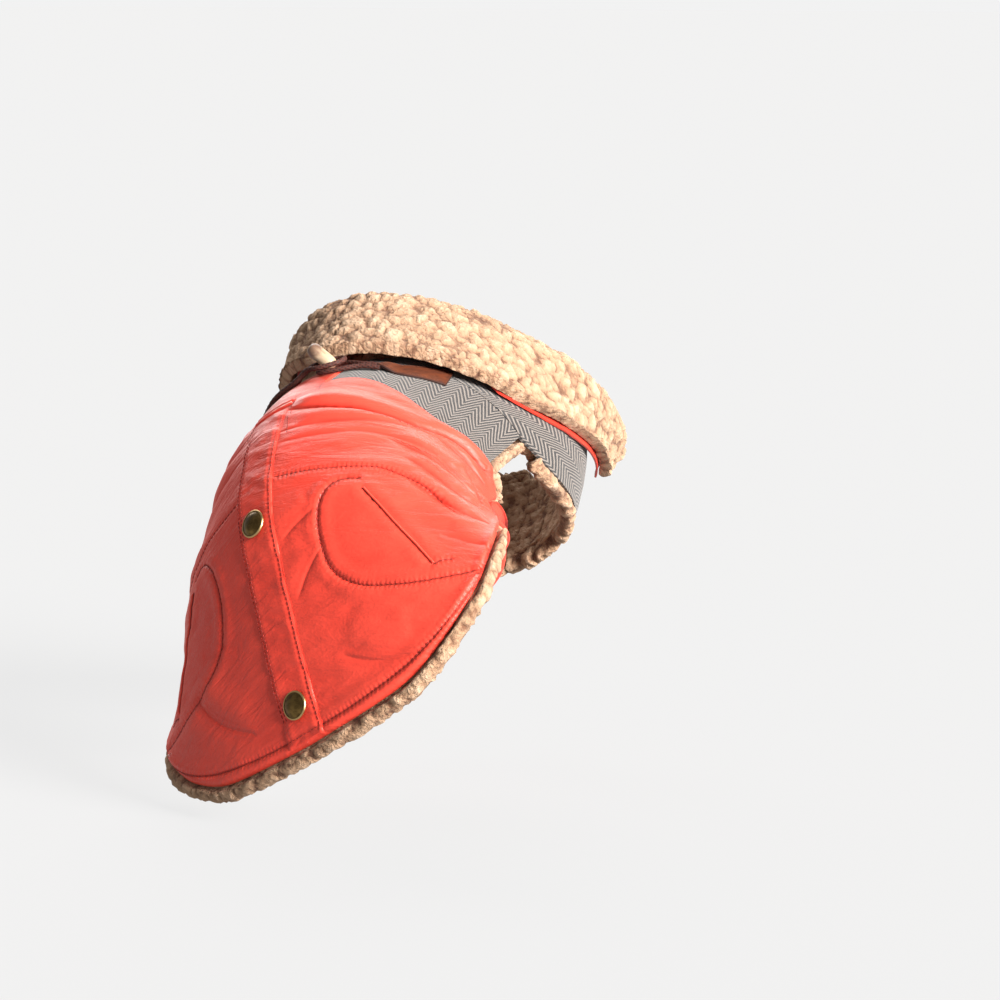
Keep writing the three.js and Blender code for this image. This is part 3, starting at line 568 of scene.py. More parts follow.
def shellRelief(at, turn):
    # height of the worn shell's surface over the form, in mm
    spots = formPoint(at, turn)
    flat = formFlat(at, turn)
    relief = np.zeros(len(at))
    for crease in creases:
        fine, centre = traced(crease["path"], 24)
        reach = 5 * crease["wide"] + 6
        near = (at > fine[:, 0].min() - reach) & (at < fine[:, 0].max() + reach)
        near &= (turn > fine[:, 1].min() - reach) & (turn < fine[:, 1].max() + reach)
        if not near.any():
            continue
        tree = pointTree(centre)
        found = [tree.find(p) for p in spots[near]]
        index = np.array([f[1] for f in found])
        off = np.array([f[2] for f in found]) * np.where(at[near] < fine[index, 0], -1, 1)
        share = index / (len(fine) - 1)
        fade = soft(0, 0.22, share) * soft(1, 0.8, share)
        away = off / crease["wide"]
        dip = crease["deep"] * np.exp(-away ** 2)
        roll = np.exp(-((away + 2.6) / 2.2) ** 2) + 0.45 * np.exp(-((away - 2.6) / 2.4) ** 2)
        relief[near] += 1.35 * (crease["roll"] * roll - dip) * fade
    distance, arc, which, _, _ = nearLines(bothSides(*seamStrength))(spots)
    strength = np.repeat(list(seamStrength.values()), 2)[which]
    relief -= 0.5 * strength * np.exp(-(distance / 1.5) ** 2)
    puff = 0.55 * strength * np.exp(-((distance - 4.5) / 3.2) ** 2)
    pucker = 0.16 * np.sin(arc * 2 * math.pi / 5.2 + 2.4 * smoothNoise(spots, 9, 5)) * np.exp(-distance / 4.0)
    relief += puff + pucker * strength
    across, along = flat[:, 0], flat[:, 1]
    slanted = np.stack([across * 0.36 + along * 0.12, along - across * 0.25, np.full(len(at), 3.0)], -1)
    flank = soft(10, 40, np.abs(turn)) * soft(290, 230, at)
    relief += (0.3 + 0.35 * flank) * smoothNoise(slanted, 9.0, 11) + 0.2 * smoothNoise(slanted, 4.2, 12)
    relief += 0.7 * smoothNoise(np.stack([across, along, np.zeros(len(at))], -1), 42.0, 14)
    return relief


foldTable = np.array([(96, 101, 128, 6, 1.7, 1.3), (111, 119, 146, 6, 1.5, 1.7), (128, 138, 160, 7, 1.1, 0.9),
                      (150, 160, 178, 8, 0.8, 1.1), (172, 186, 196, 9, 0.6, 0.6)], float)


def foldRise(at, turn):
    # the five largest rolls, as in the solids
    t = (np.abs(turn) - 14) / 82
    fade = soft(-0.05, 0.18, t) * soft(1.12, 0.85, t)
    k = np.clip(t, 0, 1)
    rise = 0
    for back, middle, strap, wide, right, left in foldTable:
        line = (1 - k) ** 2 * back + 2 * k * (1 - k) * middle + k ** 2 * strap
        rise = rise + np.where(turn > 0, right, left) * np.exp(-((at - line) / wide) ** 2)
    return rise * fade


reliefGrid = {"atFrom": 44, "atTo": 306, "atStep": 1.1, "turnFrom": -114, "turnTo": 115, "turnStep": 0.85}


def makeReliefMap():
    # the shell's surface is worked out once and read back by the cape, the placket and what lies on them
    ats = np.arange(reliefGrid["atFrom"], reliefGrid["atTo"], reliefGrid["atStep"])
    turns = np.arange(reliefGrid["turnFrom"], reliefGrid["turnTo"], reliefGrid["turnStep"])
    at, turn = np.meshgrid(ats, turns, indexing="ij")
    rise = shellRelief(at.ravel(), turn.ravel()) + 0.75 * foldRise(at.ravel(), turn.ravel())
    return rise.reshape(at.shape)


def readRelief(at, turn):
    x = (np.asarray(at, float) - reliefGrid["atFrom"]) / reliefGrid["atStep"]
    y = (np.asarray(turn, float) - reliefGrid["turnFrom"]) / reliefGrid["turnStep"]
    x, y = np.clip(x, 0, reliefMap.shape[0] - 1.001), np.clip(y, 0, reliefMap.shape[1] - 1.001)
    i, j = x.astype(int), y.astype(int)
    fx, fy = x - i, y - j
    fore, aft = (mix(reliefMap[i, j + k], reliefMap[i + 1, j + k], fx) for k in (0, 1))
    return mix(fore, aft, fy)


reliefMap = makeReliefMap()
print("shell relief ready")

lineGroups = {"A": nearLines(bothSides("hem", "pocket", "tack")), "B": nearLines(bothSides("arc")),
              "C": nearLines([crease["path"] for crease in creases])}


def lineFacts(at, turn, side):
    # what the material needs to draw each stitched line and crease finer than the mesh
    facts = {}
    spots = formPoint(at, turn)
    for group, find in lineGroups.items():
        _, arc, which, off, near = find(spots)
        if group == "C":
            weight = np.array([min(crease["deep"] / 1.3, 1.2) for crease in creases])[which]
            near = near * weight * soft(0, 8, arc)
        near = near * (side < 0.5)
        facts.update({"off" + group: np.clip(off, -6, 6), "near" + group: near, "arc" + group: arc})
    return facts


cape = {"cols": 260, "stripRows": 26, "rows": 150, "flat": (0.330, 0.260)}


def ribRow(u):
    row = throughRows(ribTable, np.abs(u))
    side = np.where(u < 0, -1.0, 1.0)[..., None]
    return row * np.concatenate([np.ones_like(side), side] * 3, -1)


def capePlaces(i, j):
    u = i / cape["cols"] * 20 - 10
    row = ribRow(u)
    top = np.clip(j / cape["stripRows"], 0, 1)
    low = np.clip((j - cape["stripRows"]) / cape["rows"], 0, 1)
    at = np.where(j < cape["stripRows"], mix(row[:, 4], row[:, 0], top), mix(row[:, 0], row[:, 2], low))
    turn = np.where(j < cape["stripRows"], mix(row[:, 5], row[:, 1], top), mix(row[:, 1], row[:, 3], low))
    return at, turn, u, low


def capeShape(i, j, side):
    at, turn, u, low = capePlaces(i, j)
    row = ribRow(u)
    toHem = (1 - low) * (row[:, 2] - row[:, 0])
    toSeam = np.where(np.abs(u) > stripRib, low * (row[:, 2] - row[:, 0]), 30)
    toArmhole = (10 - np.abs(u)) * 9 * soft(7.5, 9, np.abs(u)) + 30 * soft(9, 7.5, np.abs(u))
    edge = np.minimum(np.minimum(toHem, toSeam), toArmhole)
    relief = readRelief(at, turn)
    roundOff = 1.4 * np.clip(1 - edge / 2.2, 0, 1) ** 2
    puffHem = 0.8 * np.exp(-((toHem - 3.2) / 2.4) ** 2)
    puffSeam = 1.4 * np.exp(-((toSeam - 6) / 5) ** 2) * soft(0, 12, np.abs(turn) - 14)
    outer = np.clip(relief + puffHem + puffSeam - roundOff, -1.3, 5.4)
    lift = np.where(side > 0, np.minimum(outer - 1.2, -shellWall + 0.35 * np.clip(outer, 0, 5) + 0.1), outer)
    lift = np.where((side > 0), np.maximum(lift, -2.6), lift)
    uv = formFlat(at, turn)
    # the shade attribute rises on ridges and falls in troughs and creases: painted light and shade in the
    # nylon's colour
    return laid(at, turn, lift), uv, np.clip(0.5 + 0.22 * relief, 0, 1), lineFacts(at, turn, side)


def capeKeep(i, j):
    return (j >= cape["stripRows"]) | (np.abs(i / cape["cols"] * 20 - 10) <= stripRib)


made = wall(cape["cols"], cape["stripRows"] + cape["rows"], capeShape, capeKeep)
backPanel = newPiece("back_cape", made, nylonCloth)
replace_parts(backPanel, "back_panel")
print("cape made")

yoke = {"cols": 56, "rows": 32, "frontCols": 90, "frontRows": 24, "sink": 0.5}
chestTable = np.array([(82, 94), (82, 106), (79.5, 120), (75, 135), (71.5, 150), (70, 165), (70, 180)], float)


def yokeBackPlaces(s, t):
    # s from the centre strip to the armhole, t from the neck or shoulder seam down to the cape
    row = throughRows(ribTable, mix(stripRib, armholeRib, s))
    turn = mix(row[..., 5], row[..., 1], t) + 0.5 * np.clip(1 - s * 14, 0, 1)
    return mix(row[..., 4], row[..., 0] - seamGap, t), turn


frontStart, frontEnd, frontSeamShare = 47.5, 179.6, 6 / 18


def yokeFrontPlaces(s, t, below=0.0):
    # s from the shoulder seam round to the chest, t from the neck down
    row = throughRows(ribTable, mix(seamRib + 0.12, armholeRib, np.clip(s / frontSeamShare, 0, 1)))
    chest = throughRows(chestTable, 6 * np.clip((s - frontSeamShare) / (1 - frontSeamShare), 0, 1))
    onSeam = s <= frontSeamShare
    edgeAt = np.where(onSeam, row[..., 4] - seamGap, chest[..., 0]) + below
    edgeTurn = np.where(onSeam, row[..., 5] + 0.4, np.minimum(chest[..., 1], frontEnd))
    return mix(neckAt, edgeAt, t), mix(mix(frontStart, frontEnd, s), edgeTurn, t)


def yokeShape(places, cols, rows, side, mapTo):
    def shape(i, j, inner):
        s, t = i / cols, j / rows
        at, turn = places(s, t)
        spots = formPoint(at, turn)
        rise = 0.35 * smoothNoise(spots * np.array([1, 1, side]), 16, 21) + 0.15 * smoothNoise(spots, 7, 22)
        lift = np.where(inner > 0, -shellWall, np.clip(rise - yoke["sink"], -0.9, 1.2))
        return laid(at, turn * side, lift), mapTo(at, turn, spots), np.full(len(at), 0.5)
    return shape


def backYokeMap(at, turn, spots):
    return np.stack([np.radians(turn - 52) * halfAt(at), at], -1)


def frontYokeMap(at, turn, spots):
    return np.stack([at - 45 + 0.06 * (turn - 60), np.radians(turn) * halfAt(at)], -1)


for side, word in flanks:
    for part, cols, rows, places, mapTo, flat, area in (
            ("back", yoke["cols"], yoke["rows"], yokeBackPlaces, backYokeMap, (0.098, 0.075), 0.0050),
            ("front", yoke["frontCols"], yoke["frontRows"], yokeFrontPlaces, frontYokeMap, (0.200, 0.070),
             0.0105)):
        made = wall(cols, rows, yokeShape(places, cols, rows, side, mapTo))
        piece = newPiece(f"tweed_{part}_{word}", made, tweedCloth)
        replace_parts(piece, f"yoke_{part}_{word}")
print("yokes made")

# Fleece: rim steps past an edge (out, lift), and the armhole edge
rimTable = np.array([(0, -3), (1.2, -2.8), (3.6, -0.1), (8.0, 0.3)], float)
armholeTable = np.array([
    (82, 94), (100, 92), (117, 91), (138, 100), (160, 110), (182, 107.5), (205, 104)], float)
lining = {"half": 104, "rows": 148, "rim": 10, "frontCols": 120, "frontRows": 24, "apexAt": 85.5,
          "degPerMm": 0.66}
armholeShare = 8 / 18  # where the front lining leaves the armhole's seam, from the shoulder to the chest
liningBackAt = -liningDrop - liningWall


def nubs(points, size=None, seed=3):
    # curly clumps of fleece: height from 0 to 1 at points in mm
    size = size or fleece["nub"]
    swirl = np.stack([smoothNoise(points, 7.5, seed + k) for k in range(3)], -1) * 3.4
    swirl = swirl + np.stack([smoothNoise(points, 3.4, seed + 9 + k) for k in range(3)], -1) * 1.1
    first, second, name = clumps(points + swirl, size, seed)
    locks, nextLock, _ = clumps(points + swirl * 0.6, size * 0.42, seed + 5)
    dome = rounded(first / 0.95, 0)
    groove = soft(0.0, 0.26, second - first)
    curl = soft(0.0, 0.35, nextLock - locks)
    return dome * (0.2 + 0.8 * groove) * (0.68 + 0.32 * name) * (0.8 + 0.2 * curl)


def liningPlaces(i, j):
    column = np.abs(i - lining["half"] - lining["rim"])
    sign = np.where(i < lining["half"] + lining["rim"], -1.0, 1.0)
    u = np.clip(column / lining["half"], 0, 1)
    low = np.clip(j / lining["rows"], 0, 1)
    v = low * mix(0.55, 1, low)
    top, hem = throughRows(ribTable, u * armholeRib), throughRows(ribTable, u * strapRib)
    edge = throughRows(armholeTable, v * (len(armholeTable) - 1))
    pullAt = edge[:, 0] - mix(ribTable[armholeRib, 4], ribTable[strapRib, 2], v)
    pullTurn = edge[:, 1] - mix(ribTable[armholeRib, 5], ribTable[strapRib, 3], v)
    at = mix(top[:, 4], hem[:, 2], v) + u * pullAt
    turn = mix(top[:, 5], hem[:, 3], v) + u * pullTurn
    past = np.clip((column - lining["half"]) / lining["rim"], 0, 1)
    below = np.clip((j - lining["rows"]) / lining["rim"], 0, 1)
    sideStep, hemStep = throughRows(rimTable, past * 3), throughRows(rimTable, below * 3)
    turn = turn + sideStep[:, 0] * lining["degPerMm"] * (past > 0)
    at = np.where(past > 0, np.maximum(at, lining["apexAt"]), at) + hemStep[:, 0] * (below > 0)
    lift = np.full(len(i), -liningDrop)
    lift = np.where((past > 0) & (v < 0.62), np.maximum(lift, sideStep[:, 1]), lift)
    lift = np.where((below > 0) & (past <= 0) & (u < 0.9), np.maximum(lift, hemStep[:, 1]), lift)
    return at, turn * sign, lift, past, below


def liningShape(i, j, side):
    at, turn, lift, past, below = liningPlaces(i, j)
    rim = np.maximum(past, below)
    spots = onForm(at, turn, mix(lift, liningBackAt, side))
    nub = nubs(spots)
    rounding = rounded((rim - 0.62) / 0.38, 0.02)
    middle, half = (lift + liningBackAt) / 2, (lift - liningBackAt) / 2
    neckEdge = rounded(1 - j / 2.0, 0.1)
    face = np.where(side > 0, -1.0, 1.0)
    out = face * half * rounding * neckEdge
    grow = np.where(side > 0, 0.85, soft(0.12, 0.5, rim)) * fleece["rise"]
    wave = 0.8 * smoothNoise(spots, 22, 31) * soft(0.1, 0.6, rim)
    lifted = middle + out + face * grow * nub * (0.4 + 0.6 * rounding) + wave
    push = rim * (nub - 0.45) * 1.6 + 0.9 * smoothNoise(spots, 17, 33) * rim
    turnPush = np.where(past >= below, push * np.sign(turn) * lining["degPerMm"], 0)
    atPush = np.where(below > past, push, 0)
    return laid(at + atPush, turn + turnPush, lifted), formFlat(at, turn), nub


made = wall(2 * (lining["half"] + lining["rim"]), lining["rows"] + lining["rim"], liningShape)
liningBack = newPiece("fleece_lining_back", made, fleeceCloth, 0)
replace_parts(liningBack, "lining_back_right", "lining_back_left")


def liningFrontShape(side):
    def shape(i, j, inner):
        s = i / lining["frontCols"]
        rows = lining["frontRows"]
        t = np.clip(j / rows, 0, 1)
        below = np.clip((j - rows) / lining["rim"], 0, 1)
        step = throughRows(rimTable, below * 3)
        at, turn = yokeFrontPlaces(s, t, np.where(s < armholeShare, -1.0, 0.0))
        at = at + 0.6 * step[:, 0]
        lift = np.where(below > 0, step[:, 1], -liningDrop)
        spots = onForm(at, turn * side, mix(lift, liningBackAt, inner))
        nub = nubs(spots)
        face = np.where(inner > 0, -1.0, 1.0)
        rounding = rounded((below - 0.6) / 0.4, 0.02)
        middle, half = (lift + liningBackAt) / 2, (lift - liningBackAt) / 2
        grow = np.where(inner > 0, 0.85, soft(0.12, 0.5, below)) * fleece["rise"]
        lifted = middle + face * (half * rounding + grow * nub * (0.4 + 0.6 * rounding))
        push = below * ((nub - 0.45) * 1.5 + 0.8 * smoothNoise(spots, 15, 35))
        return laid(at + push, turn * side, lifted), formFlat(at, turn), nub
    return shape


def liningFrontKeep(i, j):
    return (j < lining["frontRows"]) | (i >= lining["frontCols"] * armholeShare)


for side, word in flanks:
    rows = lining["frontRows"] + lining["rim"]
    made = wall(lining["frontCols"], rows, liningFrontShape(side), liningFrontKeep)
    piece = newPiece(f"fleece_lining_front_{word}", made, fleeceCloth, 0)
    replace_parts(piece, f"lining_front_{word}")
print("fleece lining made")

# Collar: turn, height and reach of its fold, place, lift and rise of its edge, what the facing shows
collarTable = np.array([
    (-160, 11, 14, 50, 10, 0, 3), (-140, 12, 11, 51, 7.5, 0, 3), (-115, 16, 7, 53, 6.5, 1, 1.5),
    (-90, 22, 6.5, 52.5, 7.2, 4, 0), (-66, 29, 6, 51.5, 7.5, 7.5, 0), (-40, 37, 6, 49.5, 7.1, 13.5, 0),
    (-20, 42, 5.5, 49.5, 6.3, 13, 0), (0, 45, 5, 55, 6.4, 4, 0), (20, 43.5, 6, 58.5, 9, 0, 0),
    (40, 38, 7, 64, 8.6, 0, 0), (66, 27, 9, 68, 7.2, 0, 0), (90, 17, 11, 66, 5.2, 0, 1.5),
    (115, 12, 12, 58, 5.2, 0, 4), (140, 11, 14, 52, 8, 0, 4), (160, 12, 17, 49, 12, 0, 3)], float)
collar = {"cols": 350, "rows": 96, "wall": 6.0, "nub": 8.0, "end": 160, "standIn": 4,
          "facing": 1.1, "facingCols": 150, "facingRows": 12}
foldStep, edgeStep, lastStep = 6, 12, 13  # counted from the neck seam: top of the fold, edge, turned edge
neckAxis = np.array([0, -math.sin(math.radians(35)), math.cos(math.radians(35))])


def bezier(points, t):
    a, b, c, d = points
    t = t[:, None]
    spot = a*(1-t)**3 + 3*b*t*(1-t)**2 + 3*c*t**2*(1-t) + d*t**3
    way = 3*(b-a)*(1-t)**2 + 6*(c-b)*t*(1-t) + 3*(d-c)*t**2
    return spot, unit(way)


def collarLine(turn, k, longer):
    # middle of the folded collar at k steps from the neck seam, and the way into the fold
    row = rowsAt(collarTable, 0, turn)
    high, reach, edgeAt, lift, rise, shows = (row[:, n:n + 1] for n in range(1, 7))
    normal = formNormal(neckAt + 1, turn)
    out = unit(normal - (normal @ neckAxis)[:, None] * neckAxis)
    foot = onForm(neckAt, turn, -3.2) + 1.6 * neckAxis
    top = foot + neckAxis * high + out * reach
    low = onForm(edgeAt[:, 0], turn, lift[:, 0])
    fall = unit(onForm(edgeAt[:, 0] + 6, turn, lift[:, 0]) - low)
    edge = low + neckAxis * rise
    standLine = foot, foot + neckAxis * high * 0.6 - out * collar["standIn"], top - out * reach * 0.75, top
    stand = bezier(standLine, np.clip(k / foldStep, 0, 1))
    dropLine = top, top + out * reach * 0.8, edge - fall * 8 + neckAxis * high * 0.3, edge
    drop = bezier(dropLine, np.clip(k / foldStep - 1, 0, 1))
    past = edge + fall * np.maximum(longer * shows, 0.5) * np.clip(k - edgeStep, 0, 1)[:, None]
    k = k[:, None]
    spot = np.where(k <= foldStep, stand[0], np.where(k <= edgeStep, drop[0], past))
    way = np.where(k <= foldStep, stand[1], np.where(k <= edgeStep, drop[1], fall))
    across = unit(formPoint(neckAt, turn + 1) - formPoint(neckAt, turn - 1))
    return spot, unit(np.cross(across, way))


def collarShape(i, j, side):
    turn = mix(-collar["end"], collar["end"], i / collar["cols"])
    k = lastStep * j / collar["rows"]
    spot, inward = collarLine(turn, k, 0)
    face = np.where(side > 0, 1.0, -1.0)
    toEdge = np.minimum(5 * np.minimum(k, lastStep - k), np.minimum(i, collar["cols"] - i))
    rounding = rounded(1 - toEdge / 3.2, 0.03)
    fromFold = np.clip(np.abs(k - foldStep) / 3, 0, 1)
    share = np.where(side > 0, mix(0.25, 1, fromFold), 1.0) * rounding
    wavy = 1.1 * smoothNoise(spot, 26, 41) + 0.6 * smoothNoise(spot, 12, 42)
    skin = spot + inward * (face * share * (collar["wall"] / 2 - 0.5))[:, None]
    nub = nubs(skin, collar["nub"], 7)
    show = np.where(side > 0, 0.25 * soft(10, 12.5, k) + 0.5 * soft(4, 2, k), 1.0)
    show = show * np.where(side > 0, fromFold, 1) * (0.35 + 0.65 * rounding)
    rise = face * nub * fleece["rise"] * 1.15 * show
    lifted = skin + inward * (rise - wavy * soft(2, 5, k) * 0.7)[:, None]
    return toPart(lifted), np.stack([i, j], -1) * 1.0, nub


collarPiece = newWall("fleece_collar", collar, collarShape, fleeceCloth, 0)
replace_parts(collarPiece, "collar_stand", "collar_fall")


def facingShape(i, j, side):
    turn = mix(-collar["end"], collar["end"], i / collar["facingCols"])
    shows = rowsAt(collarTable, 0, turn)[:, 6]
    k = mix(10.0, 11.1 + 1.9 * soft(0, 1.2, shows), j / collar["facingRows"])
    spot, inward = collarLine(turn, k, 1)
    gap = collar["wall"] / 2 + 0.6 + np.where(side > 0, collar["facing"], 0)
    ripple = 0.25 * smoothNoise(spot, 7, 45)
    points = toPart(spot + inward * (gap + ripple)[:, None])
    return points, np.stack([turn * 1.05, k * 3], -1), np.full(len(i), 0.4)


made = wall(collar["facingCols"], collar["facingRows"], facingShape)
facing = newPiece("nylon_under_collar", made, nylonUnder)
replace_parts(facing, "under_collar")
print("collar made")

# Belly strap in two halves: fore and aft edges as at, turn
strapTable = np.array([
    (160.4, 110.6, 205, 104.6), (152, 128, 208, 124), (142, 150, 212, 148), (135, 172, 215, 171),
    (133, 194, 216, 194)], float)
strap = {"cols": 90, "rows": 44, "wall": 2.4, "lap": 2.9, "waistIn": 15}


def strapShape(side, lap):
    def shape(i, j, inner):
        row = throughRows(strapTable, i / strap["cols"] * 4)
        t = j / strap["rows"]
        at, turn = mix(row[:, 0], row[:, 2], t), mix(row[:, 1], row[:, 3], t)
        lift = lap * soft(150, 165, turn) - strap["waistIn"] * soft(117, 152, turn)
        spots = onForm(at, turn * side, lift)
        edge = np.minimum(np.minimum(t, 1 - t) * 70, np.minimum(i, strap["cols"] - i) * 1.7)
        rise = 0.5 * smoothNoise(spots, 18, 51) + 0.2 * smoothNoise(spots, 6, 52)
        rise = rise - 0.5 * np.exp(-((edge - 5) / 1.3) ** 2) + 0.4 * np.exp(-((edge - 2.4) / 1.5) ** 2)
        rise = np.clip(rise - 0.9 * np.clip(1 - edge / 1.6, 0, 1) ** 2, -0.9, 0.7)
        lifted = np.where(inner > 0, lift - strap["wall"], lift + rise)
        # painted shade: the strap's colour darkens in its ripples' hollows and along the groove near its edges
        return laid(at, turn * side, lifted), formFlat(at, turn), np.clip(0.5 + 0.3 * rise, 0, 1)
    return shape


for side, word in flanks:
    lap = strap["lap"] if side > 0 else 0.0
    piece = newWall(f"nylon_belly_strap_{word}", strap, strapShape(side, lap), nylonCloth)
    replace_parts(piece, f"belly_strap_{word}")
print("belly strap made")


def treeOf(*pieces):
    points, faces = [], []
    for piece in pieces:
        start = len(points)
        points += [v.co.copy() for v in piece.data.vertices]
        faces += [[start + n for n in p.vertices] for p in piece.data.polygons]
    return BVHTree.FromPolygons(points, faces)


def liftOn(tree, at, turn, otherwise=0.3):
    # how high a made piece's surface stands over the form, in mm
    start, way = toPart(onForm(at, turn, np.full(len(at), 14.0))), -formNormal(at, turn) @ lean.T
    found = [tree.ray_cast(Vector(a), Vector(b), 0.022) for a, b in zip(start, way)]
    return np.array([14 - f[3] / mm if f[0] is not None else otherwise for f in found])


capeTree = treeOf(backPanel)
placket = {"from": 99.5, "to": 295.0, "wide": 25.0, "wall": 1.4, "cols": 24, "rows": 160}


def placketShape(i, j, side):
    at = mix(placket["from"], placket["to"], j / placket["rows"])
    across = mix(-placket["wide"] / 2, placket["wide"] / 2, i / placket["cols"])
    turn = acrossToTurn(at, across)
    spots = formPoint(at, turn)
    edge = np.minimum(placket["wide"] / 2 - np.abs(across), np.minimum(j, placket["rows"] - j) * 1.2)
    ripple = np.stack([across * 0.4, at - across * 0.3, across * 0], -1)
    rise = 0.42 * smoothNoise(ripple, 6.0, 61) + 0.2 * smoothNoise(ripple, 3.0, 62)
    rise = rise + 0.2 * np.exp(-((edge - 4) / 3) ** 2)
    rise = rise - 0.35 * np.exp(-((edge - 2.2) / 0.9) ** 2) - 0.9 * np.clip(1 - edge / 1.2, 0, 1) ** 2
    base = liftOn(capeTree, at, turn)
    lift = base + 0.1 + np.where(side > 0, 0.0, placket["wall"] - 0.8 + rise)
    # painted shade: the placket's colour darkens in its ripples' hollows and along the groove near its edge
    return laid(at, turn, lift), formFlat(at, turn), np.clip(0.42 + 0.4 * rise, 0, 1)


placketPiece = newWall("nylon_placket", placket, placketShape, nylonCloth)
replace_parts(placketPiece, "placket")
print("placket made")

placketTree = treeOf(placketPiece, backPanel)


def threadMaterial(name, tint):
    m = Finish(name)
    fray = m.noise(m.place(), 1800.0, 2.0)
    body = m.colour(fray, [c * 0.7 for c in tint[:3]] + [1], tint)
    return m.done((0.4, 0.0001, fray), Base_Color=body, Roughness=0.7)


redThread = threadMaterial("redThread", thread["colour"])
tanThread = threadMaterial("tanThread", srgb(92, 48, 28))


def sew(name, tree, lines, material, pitch=None, thick=None, raised=0.1, share=0.78):
    pitch, thick = pitch or thread["pitch"], thick or thread["thick"]
    bm = bmesh.new()
    for line in lines:
        fine, p = traced(line, 30)
        arc = distanceAlong(p)
        marks = np.arange(pitch * 0.5, arc[-1], pitch)
        at, turn = (np.interp(marks, arc, fine[:, k]) for k in (0, 1))
        nextAt, nextTurn = (np.interp(marks + 0.6, arc, fine[:, k]) for k in (0, 1))
        up = formNormal(at, turn)
        spots = toPart(onForm(at, turn, liftOn(tree, at, turn) + raised))
        way = unit(toPart(onForm(nextAt, nextTurn, liftOn(tree, nextAt, nextTurn) + raised)) - spots)
        for spot, along, normal in zip(spots, way, up @ lean.T):
            aside = Vector(np.cross(along, normal)).normalized()
            height = aside.cross(Vector(along))
            length = Vector(along) * pitch * share * 0.5 * mm
            turned = Matrix((aside * thick * 0.5 * mm, height * thick * 0.42 * mm, length)).transposed()
            place = Matrix.Translation(spot) @ turned.to_4x4()
            bmesh.ops.create_uvsphere(bm, u_segments=6, v_segments=5, radius=1, matrix=place)
    bmesh.ops.recalc_face_normals(bm, faces=bm.faces[:])
    return newPiece(name, bm, material, 0)


def placketRun(first, across):
    return [(at, float(acrossToTurn(at, across))) for at in range(first, 294, 14)]


placketRuns = [placketRun(112, -11.2), placketRun(112, -9.0), placketRun(124, 11.2)]
hemWhole = otherSide(stitchLines["hem"]) + stitchLines["hem"][::-1][1:]
sew("stitches_hem", placketTree, [hemWhole], redThread)
sew("stitches_placket", placketTree, placketRuns, redThread)
sew("stitches_pockets", capeTree, bothSides("pocket", "tack"), redThread)
sew("stitches_arcs", capeTree, bothSides("arc"), redThread, 2.9)
print("sewing made")


def metalMaterial(name, base, worn, dark):
    m = Finish(name)
    patina = m.noise(m.place(), 260.0, 4.0, 0.6)
    mottled = m.colour(m.ramp(patina, 0.35, 0.7, 0.0, 1.0), dark, base)
    body = m.colour(m.ramp(m.read(), 0.5, 1.0, 0.0, 1.0), mottled, worn)
    return m.done((0.12, 0.0001, m.noise(m.place(), 2600.0, 2.0)), Base_Color=body, Metallic=1.0,
                  Roughness=m.ramp(patina, 0.3, 0.7, 0.42, 0.28))


def turned(profile, steps, foot, axis):
    # a turned body from a profile of (radius, height, shade), in mm, spun about its own axis
    bm = bmesh.new()
    tint = bm.verts.layers.float.new("shade")
    row = [bm.verts.new((r, 0, h)) for r, h, _ in profile]
    for v, (_, _, shade) in zip(row, profile):
        v[tint] = shade
    edges = [bm.edges.new(pair) for pair in zip(row[:-1], row[1:])]
    bmesh.ops.spin(bm, geom=row + edges, cent=(0, 0, 0), axis=(0, 0, 1), angle=2 * math.pi, steps=steps,
                   use_merge=True)
    bmesh.ops.remove_doubles(bm, verts=bm.verts[:], dist=0.01)
    bmesh.ops.recalc_face_normals(bm, faces=bm.faces[:])
    spin = Vector((0, 0, 1)).rotation_difference(Vector(lean @ np.asarray(axis))).to_matrix().to_4x4()
    bmesh.ops.scale(bm, vec=(mm, mm, mm), verts=bm.verts[:])
    bmesh.ops.transform(bm, matrix=Matrix.Translation(Vector(toPart(foot))) @ spin, verts=bm.verts[:])
    return bm


brass = metalMaterial("antiqueBrass", srgb(134, 108, 62), srgb(206, 176, 122), srgb(86, 68, 38))
snapAts = {"upper": 175, "lower": 275}
snapProfile = [(0, 0, 0.3), (6.4, 0, 0.3), (7.1, 0.15, 0.4), (7.5, 0.6, 0.8), (7.5, 1.1, 1.0),
               (7.3, 1.5, 1.0), (6.95, 1.68, 1.0),
               (6.6, 1.62, 0.7), (6.3, 1.5, 0.2), (6.0, 1.65, 0.3), (5.4, 2.1, 0.5), (4.5, 2.55, 0.45),
               (3.4, 2.9, 0.4),
               (2.0, 3.2, 0.4), (0.9, 3.36, 0.4), (0, 3.4, 0.4)]
ring = np.radians(np.arange(0, 360, 30))
for word, at in snapAts.items():
    base = liftOn(placketTree, at + 5 * np.cos(ring), acrossToTurn(at, 5 * np.sin(ring))).max()
    made = turned(snapProfile, 48, onForm(at, 0.0, base - 0.2), formNormal(at, 0.0))
    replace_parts(newPiece(f"brass_snap_{word}", made, brass, 40), f"snap_{word}")


def hornMaterial(name, pale, brown):
    m = Finish(name)
    grain = m.node("Mapping", Vector=m.place(), Rotation=(0.4, 0.9, 0.3), Scale=(60, 420, 300)).outputs[0]
    streaks = m.noise(grain, 1.0, 3.0, distortion=0.4)
    # the toggle is pale near its foot and brown towards its far end: painted shade, with streaks of grain
    tone = m.total(m.read(), m.times(m.calc("SUBTRACT", streaks, 0.5), 0.9))
    body = m.colour(m.ramp(tone, 0.15, 0.75, 0.0, 1.0), brown, pale)
    return m.done((0.15, 0.0002, streaks), Base_Color=body, Roughness=0.38, Subsurface_Weight=0.15,
                  Subsurface_Scale=0.002)


